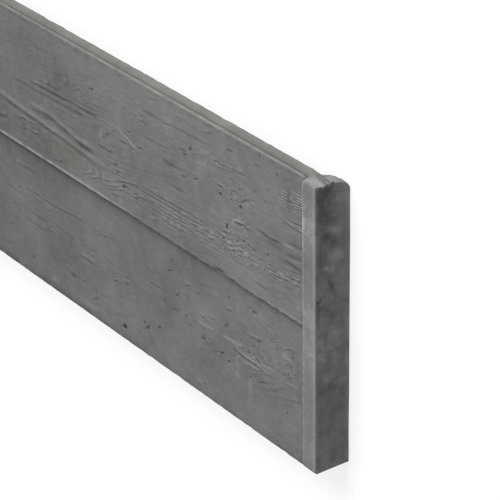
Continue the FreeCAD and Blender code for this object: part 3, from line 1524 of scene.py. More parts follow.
    def _tone(self, tree: bpy.types.NodeTree, place: bpy.types.NodeSocket,
              fine: tuple[tuple[bpy.types.NodeSocket, float], ...]) -> bpy.types.NodeSocket:
        """Mix the cement's own greys.

        Args:
            tree: Node tree of the material.
            place: Object coordinates.
            fine: Sockets of the fine patterns, with the share that each has in the tone.

        Returns:
            Socket with the colour: paler where the mould was smooth.
        """
        clouds = self._speckle(tree, place, self.cloud, 4.0)
        mottle = self._speckle(tree, place, self.mottle, 5.0)
        total = self._total(tree, ((clouds, 0.95), (mottle, 0.45), *fine))
        mixed = add_node(tree, "ShaderNodeValToRGB", None, {"Fac": total})
        steps = mixed.color_ramp.elements
        first, *between, last = self.greys
        for step, (at, grey) in zip(steps, (first, last)):
            step.position = at
            step.color = linear(grey)
        for at, grey in between:
            steps.new(at).color = linear(grey)
        return mixed.outputs["Color"]


@dataclass(frozen=True)
class Studio:
    """A white floor, a white surround, and one broad soft lamp over the board's top edge."""

    target: tuple[float, float, float] = (0.72, 0.0, 0.02)
    lamp_from: tuple[float, float, float] = (-0.04, 0.86, 0.5)
    lamp_distance: float = 2.3
    lamp_width: float = 1.8
    lamp_power: float = 52.0
    ambient: float = 0.51
    floor_size: float = 14.0
    floor_grey: str = "#b4b4b4"
    floor_glow: float = 0.67

    def build(self) -> None:
        """Make the floor, the lamp and the world."""
        self._floor()
        self._lamp()
        self._world()

    def _seen(self, tree: bpy.types.NodeTree) -> bpy.types.NodeSocket:
        """Tell a tree whether the camera sees the surface, straight or in a reflection.

        Args:
            tree: Node tree that takes the nodes.

        Returns:
            Socket that is 1 where the surface is seen and 0 where it only gives light.
        """
        path = add_node(tree, "ShaderNodeLightPath")
        seen = path.outputs["Is Camera Ray"]
        for name in ("Is Glossy Ray", "Is Transmission Ray"):
            seen = maths(tree, "MAXIMUM", seen, path.outputs[name])
        return seen

    def _floor(self) -> None:
        """Lay a floor that is white to the eye, keeps the board's shadow and gives little light back."""
        mesh = bmesh.new()
        bmesh.ops.create_grid(mesh, x_segments=1, y_segments=1, size=self.floor_size / 2)
        data = bpy.data.meshes.new("studio_floor")
        mesh.to_mesh(data)
        mesh.free()
        floor = bpy.data.objects.new("studio_floor", data)
        bpy.context.scene.collection.objects.link(floor)
        paper = bpy.data.materials.new("matt_white_paper")
        paper.use_nodes = True
        tree = paper.node_tree
        tree.nodes.clear()
        grey = add_node(tree, "ShaderNodeBsdfDiffuse", {"Color": linear(self.floor_grey)})
        glow = add_node(tree, "ShaderNodeEmission", {"Strength": self.floor_glow})
        lit = add_node(tree, "ShaderNodeAddShader", None, {0: grey.outputs[0], 1: glow.outputs[0]})
        both = add_node(tree, "ShaderNodeMixShader", None,
                        {0: self._seen(tree), 1: grey.outputs[0], 2: lit.outputs[0]})
        add_node(tree, "ShaderNodeOutputMaterial", None, {"Surface": both.outputs[0]})
        data.materials.append(paper)

    def _lamp(self) -> None:
        """Hang the lamp."""
        data = bpy.data.lights.new("soft_lamp", "AREA")
        data.energy = self.lamp_power
        data.size = self.lamp_width
        lamp = bpy.data.objects.new("soft_lamp", data)
        away = Vector(self.lamp_from).normalized()
        lamp.location = Vector(self.target) + self.lamp_distance * away
        lamp.rotation_euler = away.to_track_quat("Z", "Y").to_euler()
        bpy.context.scene.collection.objects.link(lamp)

    def _world(self) -> None:
        """Make the surround white to the eye and an even soft light on the board."""
        world = bpy.data.worlds.new("white_surround")
        world.use_nodes = True
        tree = world.node_tree
        tree.nodes.clear()
        soft, white = (
            add_node(tree, "ShaderNodeBackground", {"Color": linear("#ffffff"), "Strength": strength})
            for strength in (self.ambient, 1.0))
        both = add_node(tree, "ShaderNodeMixShader", None,
                        {0: self._seen(tree), 1: soft.outputs[0], 2: white.outputs[0]})
        add_node(tree, "ShaderNodeOutputWorld", None, {"Surface": both.outputs[0]})
        bpy.context.scene.world = world


@dataclass(frozen=True)
class PhotoCamera:
    """The photograph's camera, given as it stands to the near lower corner of the face."""

    swing: float = 54.363
    tilt: float = 27.41
    roll: float = -0.833
    stand_off: float = 2.0229
    sideways: float = -0.0525
    upward: float = 0.18247
    lens: float = 180.0
    sensor: float = 36.0
    sight: float = 50.0

    def build(self, sizes: BoardSizes) -> None:
        """Set the camera up.

        Args:
            sizes: Sizes of the board that it looks at.
        """
        swing, tilt, roll = (math.radians(a) for a in (self.swing, self.tilt, self.roll))
        back = Vector((math.sin(swing) * math.cos(tilt), math.sin(tilt), math.cos(swing) * math.cos(tilt)))
        right = Vector((math.cos(swing), 0, -math.sin(swing)))
        up = back.cross(right)
        right, up = (math.cos(roll) * right + math.sin(roll) * up,
                     math.cos(roll) * up - math.sin(roll) * right)
        corner = Vector((sizes.half_length, sizes.bottom, sizes.thickness)) * MM
        data = bpy.data.cameras.new("photo_camera")
        data.lens = self.lens
        data.sensor_width = self.sensor
        data.clip_end = self.sight
        camera = bpy.data.objects.new("photo_camera", data)
        turn = Matrix((right, up, back)).transposed().to_4x4()
        stand = corner + self.sideways * right + self.upward * up + self.stand_off * back
        camera.matrix_world = Matrix.Translation(stand) @ turn
        bpy.context.scene.collection.objects.link(camera)
        bpy.context.scene.camera = camera


UPPER_WOOD = WoodRelief(
    seed=2.0,
    knots=(
        Knot(from_end=300, height=190, radius=13, run=42, push=11),
        Knot(from_end=322, height=151, radius=6, run=26, push=5),
        Knot(from_end=905, height=205, radius=11, run=36, push=10),
        Knot(from_end=1420, height=170, radius=12, run=40, push=11),
    ),
    arches=(
        Arch(from_end=313, height=150.5, rise=5.5, span=9, pitch=11, depth=0.5),
        Arch(from_end=640, height=180, rise=7, span=16, pitch=12, depth=0.35),
        Arch(from_end=1120, height=215, rise=6, span=16, pitch=11, depth=0.35),
    ),
    furrows=(
        # The two long lines that sweep in to the knot from the far side, and the lens that ends one.
        Furrow(((510, 168), (460, 167), (440, 165.6), (400, 163.5), (360, 161.3), (327, 158.8),
                (296, 158)), 0.42, 2.4, lip=1.0),
        Furrow(((430, 175), (413, 174.5), (387, 175.4), (370, 172), (347, 169), (316, 167.5)),
               0.42, 2.6, lip=1.0),
        Furrow(((346, 168.7), (333, 168), (319, 167.4)), 0.3, 2.4, 5, lip=0),
        Furrow(((450, 161), (420, 162), (380, 159.3), (360, 157.7), (320, 156.2)), -0.3, 0.9, lip=0),
        # Lines over the knot.
        Furrow(((425, 199), (400, 201.3), (380, 201.4), (363, 203), (306, 204.3)), 0.5, 1.7, lip=0.4),
        Furrow(((410, 205.5), (390, 207.2), (366, 207.6)), 0.35, 1.2, lip=0.4),
        Furrow(((368, 206.4), (345, 208.2), (308, 208.5)), 0.35, 1.3, lip=0.4),
        Furrow(((455, 193.5), (400, 194.5), (360, 196.5), (334, 198)), 0.35, 2.0),
        # Lines that leave the knot's near side.
        Furrow(((286, 207.5), (270, 203.3), (258, 198.3), (244, 196.5)), -0.45, 1.6, 5, lip=0),
        Furrow(((282, 205), (268, 200.8), (254, 196)), 0.5, 1.2, 5, lip=0),
        Furrow(((281, 210.5), (268, 207.3), (252, 203.8)), -0.35, 1.0, 5, lip=0),
        # The fan beside the arch.
        Furrow(((292, 138.5), (280, 141.7), (270, 144.5)), 0.4, 0.9, 5),
        Furrow(((301, 141), (290, 144.2), (270, 151)), 0.5, 1.0, 5, lip=0.9),
        Furrow(((299, 144.7), (288, 147.7), (277, 151.7)), 0.5, 1.0, 5, lip=0.9),
        Furrow(((306, 147.5), (292, 151.2), (268, 159.7), (248, 163)), 0.5, 1.1, 6, lip=0.9),
        # The straight lines that run on to the near end.
        Furrow(((248, 164), (225, 165), (205, 165.7), (190, 167), (165, 167), (145, 168)), 0.48, 1.0),
        Furrow(((262, 160.5), (225, 161.8), (190, 162.6), (150, 163.5)), 0.38, 0.8),
        Furrow(((250, 153.2), (215, 154.8), (180, 155.6), (140, 156.6)), 0.38, 0.8),
        Furrow(((240, 150), (205, 151), (165, 152), (130, 153)), 0.32, 0.8),
        Furrow(((176, 159.5), (140, 161), (105, 162)), 0.38, 0.8),
        Furrow(((160, 148.6), (125, 150), (90, 151)), 0.3, 0.8),
        Furrow(((240, 156.7), (220, 157.2), (200, 158), (180, 158.5)), 0.4, 0.9),
        Furrow(((207, 153.2), (195, 154), (183, 154.5)), 0.35, 0.9),
        Furrow(((217, 145.7), (200, 146.7), (188, 146), (176, 146.5)), 0.4, 0.9),
        Furrow(((238, 213), (228, 213.7), (202, 215.2)), 0.35, 1.0),
        Furrow(((218, 202), (205, 202.2), (195, 202), (180, 202.5)), 0.35, 1.6, lip=0.2),
        Furrow(((205, 182.8), (195, 183.5), (188, 183.9), (176, 183.2)), 0.4, 1.8, 8, lip=0.2),
        Furrow(((250, 236.2), (228, 236.6), (216, 237)), 0.35, 1.8, lip=0.3),
        Furrow(((220, 237), (190, 237.8), (165, 238.6), (142, 239)), 0.25, 1.2),
        Furrow(((160, 227), (130, 229), (92, 232)), 0.3, 1.0),
        Furrow(((80, 191.6), (68.5, 190.1), (61, 189.4), (53, 190), (44, 191.8)), 0.6, 1.3, 6, lip=0.5),
        Furrow(((46, 192.4), (34.5, 193.3), (15, 192)), -0.4, 1.2, 3, lip=0),
        Furrow(((43, 194), (30.7, 195.7), (15, 196.6)), 0.45, 1.6, 4, lip=0.2),
        Furrow(((70, 186.5), (56, 185.7), (40, 186)), 0.3, 2.5, lip=0.2),
        Furrow(((86, 142.6), (78, 142.8), (70, 142.2), (58, 142.5)), 0.45, 1.4),
        Furrow(((40, 183.8), (32.7, 184.5), (21.5, 186.7), (15, 187.4)), 0.35, 2.2, 4, lip=0.4),
        Furrow(((43, 211.2), (34, 210.9), (25, 210.3), (15, 210.6)), 0.65, 1.1, 4, lip=0.8),
        Furrow(((37, 215.2), (29, 215.7), (15, 217)), 0.5, 1.0, 4, lip=0.8),
        Furrow(((33, 213), (25, 213), (15, 213.6)), 0.35, 0.8, 4, lip=0.5),
        Furrow(((44, 177.6), (30, 177.5), (15, 176.6)), 0.6, 2.2, 4, lip=0.4),
        Furrow(((37, 171.5), (28, 173), (15, 174.5)), 0.45, 0.9, 3),
        Furrow(((42, 165.5), (30, 166), (15, 167)), 0.25, 0.9, 4),
        Furrow(((66, 162.7), (50, 162.7), (43, 163.2)), 0.4, 0.8, 3),
        Furrow(((54, 159.1), (44, 161), (34.7, 162.7)), 0.45, 0.8, 3),
        # Long lines of the stretch beyond.
        Furrow(((700, 158), (640, 160), (590, 157), (530, 161)), 0.5, 1.6),
        Furrow(((760, 224), (680, 221), (600, 226), (540, 223)), 0.5, 1.4),
        Furrow(((1010, 190), (950, 188), (900, 187), (840, 191)), 0.6, 1.6),
        Furrow(((1300, 226), (1200, 222), (1130, 224)), 0.5, 1.5),
        Furrow(((1240, 158), (1160, 162), (1080, 160)), 0.5, 1.6),
        Furrow(((1520, 196), (1440, 192), (1360, 195)), 0.6, 1.6),
        Furrow(((1760, 180), (1680, 176), (1600, 179)), 0.5, 1.5),
        Furrow(((1780, 226), (1700, 229), (1610, 227)), 0.4, 1.4),
    ),
    dashes=(
        Dash(366.5, 201.5, 5, 0.5, 1.2, 12),
        Dash(337.5, 198, 5, 0.4, 1.2, 10),
        Dash(305, 187.5, 4, 0.4, 1.6, 60),
        Dash(306, 193, 6, -0.4, 1.3, 80, lip=0),
        Dash(291, 182.8, 7, -0.35, 1.3, 12, lip=0),
        Dash(284, 179, 6, -0.3, 1.6, 62, lip=0),
        Dash(304.5, 179.5, 4),
        Dash(293.5, 179.3, 5, 0.6, 1.1, 5),
        Dash(270.5, 195.8, 5, 0.7, 1.1, 0),
        Dash(257.5, 196, 4, 0.6),
        Dash(245.5, 199.6, 5),
        Dash(281.5, 158, 2.5, 0.6),
        Dash(253.5, 150.3, 6, 0.5, 0.8, 3),
        Dash(247.5, 154.3, 7, 0.5, 0.8, 3),
        Dash(434.5, 159, 5, 0.7, 1.1, 0),
        Dash(432.5, 150.5, 6, 0.5, 1.2, 18),
        Dash(416.5, 151.8, 5, 0.6, 1.0, 8),
        Dash(470.5, 149.5, 7, 0.5, 1.5, 18),
        Dash(358.5, 156.3, 4, 0.6),
        Dash(373.5, 140, 4, 0.6, 1.6, 40),
        Dash(382.5, 138, 3, 0.6),
        Dash(442.5, 142, 4, 0.4, 1.1, 25),
        Dash(435.5, 137.4, 3, 0.6),
        Dash(206.5, 236.3, 4),
        Dash(185.5, 221.8, 6, 0.5, 0.9, 5),
        Dash(147.5, 219.5, 3, 0.6, 1.5, 60),
        Dash(130, 209, 3, 0.9, 1.2, 0),
        Dash(97, 208, 4, 0.6, 1.3, 45),
        Dash(181.5, 198.4, 3, 0.7),
        Dash(201.5, 196.8, 4, -0.4, 0.9),
        Dash(103, 185.8, 4, 1.0, 1.2, 5),
        Dash(92.5, 185.7, 4, 1.0, 1.2, 0),
        Dash(119.5, 178, 4, 0.7, 1.2, 75),
        Dash(122, 170.5, 3, 0.7),
        Dash(96, 173.6, 3, 0.7, 1.0, 20),
        Dash(86.5, 172, 5, 0.6, 0.9, 0),
        Dash(228.5, 144.7, 3),
        Dash(141.5, 156.5, 3, 0.8, 1.3, 30),
        Dash(48.5, 160.6, 3, 0.6),
        Dash(41.5, 247, 4, 0.5, 1.6, 70),
        Dash(78.5, 246.5, 3, 0.6, 1.2, 0),
        Dash(116, 245.6, 3, 0.6),
        Dash(83.5, 221.5, 4, 0.6, 1.2, 30),
        Dash(98.5, 218.7, 2.5, 0.6),
        Dash(90.5, 212, 5, 0.6, 1.0, 15),
        Dash(146.5, 250, 5, 0.5, 1.2, 20),
        Dash(226.5, 251, 8, 0.3, 1.5, 10),
    ),
    patches=(
        RoughPatch(150, 160, 80, 14, 0.35),
        RoughPatch(98, 170, 24, 8, 0.4),
        RoughPatch(105, 161, 38, 7, 0.3),
        RoughPatch(55, 160, 26, 7, 0.4),
        RoughPatch(120, 178, 5, 7, 0.6),
        RoughPatch(190, 222, 18, 4, 0.6),
        RoughPatch(195, 150, 20, 6, 0.45),
        RoughPatch(135, 228, 40, 6, 0.4),
        RoughPatch(100, 212, 25, 8, 0.6),
        RoughPatch(247, 228, 8, 5, 0.7),
        RoughPatch(100, 188, 12, 4, 0.9),
        RoughPatch(255, 154, 18, 7, 0.6),
        RoughPatch(345, 222, 40, 8, 0.4),
        RoughPatch(440, 155, 30, 8, 0.4),
        RoughPatch(25, 165, 12, 8, 0.6),
    ),
    saw_marks=(
        SawMarks(near=20, far=34, low=226, high=241, pitch=2.3, depth=0.75),
        SawMarks(near=40, far=48, low=225, high=238, pitch=2.5, depth=0.42),
    ),
)
LOWER_WOOD = WoodRelief(
    seed=31.0,
    torn=0.15,
    streak_depth=0.1,
    dash_depth=0.6,
    ring_depth=0.15,
    slant=0.16,
    knots=(
        Knot(from_end=277, height=64, radius=7, run=16, push=6),
        Knot(from_end=760, height=80, radius=10, run=34, push=9),
        Knot(from_end=1330, height=48, radius=8, run=30, push=8),
    ),
    furrows=(
        Furrow(((448, 86.7), (430, 87.7), (415, 86.2), (385, 88), (355, 90.5), (340, 90.7)), 0.5, 1.1),
        Furrow(((485, 78.5), (460, 77.2), (438, 78.2)), 0.4, 1.1),
        Furrow(((442, 66.2), (425, 65.2), (403, 66.2)), 0.5, 1.2),
        Furrow(((398, 69.8), (380, 68.7), (370, 67.2), (352, 66.7)), 0.45, 1.2),
        Furrow(((445, 55.7), (430, 55.5), (415, 55.2), (403, 56.2)), 0.45, 1.2),
        Furrow(((354, 54.2), (343, 54.7), (334, 54.9), (323, 54.5)), 0.6, 1.5, 6),
        Furrow(((347, 68.2), (332, 67), (322, 67.7)), 0.4, 1.0),
        Furrow(((347, 63.5), (335, 62.2), (320, 62.7)), 0.4, 1.0),
        Furrow(((316, 72), (308, 69.2), (302, 67.7), (293, 67.2)), 0.5, 1.2, 5),
        Furrow(((336, 16), (326, 21.7), (318, 25.5)), 0.6, 1.3, 5),
        Furrow(((321, 26.5), (310, 30.2), (300, 32.5)), 0.4, 1.6, 5, lip=0.4),
        Furrow(((306, 33), (290, 38.7), (275, 42.2), (242, 47)), 0.22, 1.5, lip=0.4),
        Furrow(((246, 75), (232, 75.6), (212, 74.7)), 0.45, 1.1, 6),
        Furrow(((170, 69.5), (150, 70.2), (138, 70.7)), -0.35, 1.1, lip=0),
        Furrow(((128, 71.2), (115, 71.6), (100, 71.8)), -0.35, 1.1, lip=0),
        Furrow(((122, 65), (105, 63.2), (92, 63.7), (75, 62.2), (56, 62.7)), 0.5, 1.2),
        Furrow(((94, 86.5), (82, 87.7), (73, 90)), 0.6, 1.3, 5),
        Furrow(((460, 106.7), (450, 107.2), (440, 108.3), (422, 108.3)), 0.5, 1.2, 5),
        # The band of strokes beside the near margin.
        Furrow(((168, 76.6), (157, 75.6), (145, 74.2)), 0.4, 1.0, 6, lip=1.0),
        Furrow(((165, 68.7), (152, 69.6), (141, 70.6)), -0.45, 1.2, 6, lip=0),
        Furrow(((136, 70.6), (116, 72), (96, 73)), -0.45, 1.4, 8, lip=0),
        Furrow(((117, 67.9), (104, 65), (92, 62.7)), 0.5, 1.3, 5, lip=0.9),
        Furrow(((103, 59.3), (82, 61.2), (61, 63.7)), -0.45, 1.1, 8, lip=0),
        Furrow(((81, 80.3), (74, 78.5), (66, 77.1)), -0.45, 1.2, 4, lip=0),
        Furrow(((77, 68.6), (69, 68.7), (60, 69.1)), -0.5, 1.3, 4, lip=0),
        Furrow(((78, 109.5), (69, 108), (60, 106.7)), 0.35, 0.9, 5),
        Furrow(((42, 112.7), (30, 111.3), (20, 110.3)), 0.3, 0.9, 5),
        Furrow(((49, 90.6), (38, 89.5), (27, 88.4)), -0.45, 1.3, 5, lip=0),
        Furrow(((54, 65.9), (37, 67.6), (20, 69.3)), -0.35, 1.2, 6, lip=0),
        Furrow(((52, 61.5), (45, 60), (37, 58.5)), 0.4, 1.0, 4, lip=0.9),
        Furrow(((50, 47.5), (35, 52.5), (20, 57.2)), 0.35, 1.2, 6, lip=0.8),
        Furrow(((72, 45.4), (60, 50), (49, 54.4)), 0.4, 1.3, 5),
        Furrow(((171, 12.6), (162, 12.4), (154, 11.9)), -0.35, 1.6, 5, lip=0),
        Furrow(((620, 60), (570, 63), (520, 61)), 0.4, 1.3),
        Furrow(((900, 100), (820, 96), (740, 99)), 0.45, 1.4),
        Furrow(((1080, 40), (1000, 44), (930, 42)), 0.45, 1.4),
        Furrow(((1440, 90), (1360, 86), (1290, 89)), 0.45, 1.4),
        Furrow(((1720, 62), (1640, 65), (1570, 63)), 0.45, 1.4),
    ),
    dashes=(
        Dash(414.5, 83, 4),
        Dash(402.5, 78.7, 2.5),
        Dash(395.5, 60.2, 4, 0.8, 0.9, 5),
        Dash(372.5, 39.5, 3, 0.5, 2.0, 40),
        Dash(370.5, 45, 6, 0.3, 1.6, 10),
        Dash(363.5, 29, 4, 0.9, 2.6, 15, lip=0.3),
        Dash(344.5, 31.3, 3.5, 0.8, 1.2, 22),
        Dash(432.5, 19.5, 3, 0.9, 2.2, 60, lip=0.4),
        Dash(469.5, 40, 4, 0.6, 1.6, 40),
        Dash(475.5, 17, 4, 0.6, 1.4, 20),
        Dash(290.5, 20, 7, 0.4, 1.5, 25),
        Dash(274.5, 57.7, 3, 0.6, 1.2, 15),
        Dash(292.5, 53.6, 3, 0.7, 1.1, 15),
        Dash(308.5, 90.7, 6, 0.5, 0.9, 5),
        Dash(206.5, 99.7, 4, 0.6, 1.0, 30),
        Dash(178.5, 96.5, 5, 0.5, 1.0, 20),
        Dash(164.5, 95.6, 3, 0.6, 1.4, 50),
        Dash(184.5, 86, 2.5, 0.6, 1.2, 40),
        Dash(144.5, 80.2, 2.5, 0.7),
        Dash(175.5, 71.2, 3, 0.6, 1.1, 40),
        Dash(200.5, 64.6, 4, 0.5, 1.0, 10),
        Dash(177.5, 59.4, 3, 0.5, 1.4, 30),
        Dash(148.5, 53.6, 2, 0.8, 1.3, 30),
        Dash(139.5, 51.6, 6, 0.4, 0.9, 18),
        Dash(218.5, 24, 7, 0.3, 1.6, 15),
        Dash(135.5, 73, 4, 0.5, 1.2, 80),
        Dash(72.5, 52, 7, 0.5, 1.0, 25),
        Dash(50.5, 56, 8, 0.5, 1.2, 25),
        Dash(38.5, 97.7, 8, 0.5, 0.9, 18),
        Dash(53.5, 47, 9, 0.4, 1.2, 25),
        Dash(148.5, 108, 9, 0.3, 1.3, 15),
        Dash(118.5, 99, 6, 0.4, 1.1, 25),
    ),
    patches=(
        RoughPatch(82, 56, 12, 8, 1.0),
        RoughPatch(110, 55, 5, 11, 0.6),
        RoughPatch(57, 97, 6, 5, 1.0),
        RoughPatch(38, 97, 9, 5, 0.7),
        RoughPatch(57, 125, 8, 3, 0.9),
        RoughPatch(88, 112, 7, 4, 0.9),
        RoughPatch(85, 72, 20, 5, 0.6),
        RoughPatch(290, 58, 8, 7, 0.8),
        RoughPatch(315, 90, 10, 4, 0.7),
        RoughPatch(207, 99, 6, 3, 0.7),
        RoughPatch(460, 62, 14, 6, 0.6),
        RoughPatch(178, 97, 8, 3, 0.6),
        RoughPatch(90, 76, 50, 20, 0.22),
        RoughPatch(42, 74, 28, 24, 0.22),
        RoughPatch(124, 99, 6, 3, 0.7),
        RoughPatch(55, 98, 5, 4, 0.5),
    ),
)
BLOWHOLES = (
    Blowhole(284, 170.8, 1.5, 1.2),
    Blowhole(282, 163.5, 1.8, 1.6, 0.3, 75),
    Blowhole(272, 154, 1.6),
    Blowhole(296, 194.5, 1.8, 1.2, 0.4),
    Blowhole(128.5, 202.8, 1.7, 1.3),
    Blowhole(113.5, 203.5, 0.9),
    Blowhole(101, 201.7, 1.8, 1.2),
    Blowhole(171.5, 226.7, 1.8, 1.5, 0.5, 50),
    Blowhole(180, 218.4, 1.2, 1.2),
    Blowhole(63.5, 174.1, 1.3, 1.2),
    Blowhole(120, 176.9, 1.0, 1.3),
    Blowhole(95.5, 172.5, 1.1, 1.3),
    Blowhole(83, 170.3, 0.9, 1.5),
    Blowhole(122, 156, 0.9, 1.4),
    Blowhole(104, 172.7, 0.9, 1.3),
    Blowhole(109.5, 159.4, 0.9, 1.5),
    Blowhole(129, 209.7, 1.0, 1.2),
    Blowhole(176.5, 220.4, 1.1, 1.3),
    Blowhole(163.5, 202.7, 1.4, 1.8, 0.6),
    Blowhole(262, 209, 1.3, 1.8, 0.5),
    Blowhole(320, 228, 1.7, 1.8, 0.5),
    Blowhole(279, 13.5, 2.2, 1.6, 1, 28),
    Blowhole(242, 28.7, 1.7, 1.3),
    Blowhole(246.5, 32, 1.5, 1.2, 0.6, 70),
    Blowhole(239.5, 31.5, 1.2, 1.4, 0.6, 60),
    Blowhole(223.5, 37, 1.4, 1.6),
    Blowhole(196, 80.4, 1.4, 1.3),
    Blowhole(157.5, 55.8, 1.6, 1.8, 0.7, 15),
    Blowhole(130.5, 53.9, 1.4, 2.2, 0.8),
    Blowhole(120, 50.4, 1.3, 1.8, 0.7),
    Blowhole(159.5, 43.6, 1.2, 1.5, 0.5),
    Blowhole(92.5, 71.3, 1.3, 1.1),
    Blowhole(84.5, 73, 1.1, 1.2),
    Blowhole(85.5, 111.8, 1.3, 1.6),
    Blowhole(124.5, 81.8, 1.1, 1.4, 0.6, 70),
    Blowhole(89.5, 49, 1.2, 1.3),
    Blowhole(273, 64.4, 1.2, 1.8, 0.5, 80),
    Blowhole(620, 205, 1.7),
    Blowhole(700, 60, 1.8),
    Blowhole(1010, 165, 1.6),
    Blowhole(1150, 95, 2),
    Blowhole(1500, 225, 1.7),
    Blowhole(1610, 40, 1.8),
)
NICKS = (Nick(from_end=131, width=7, rise=3.2), Nick(from_end=112, width=5, rise=1.6))
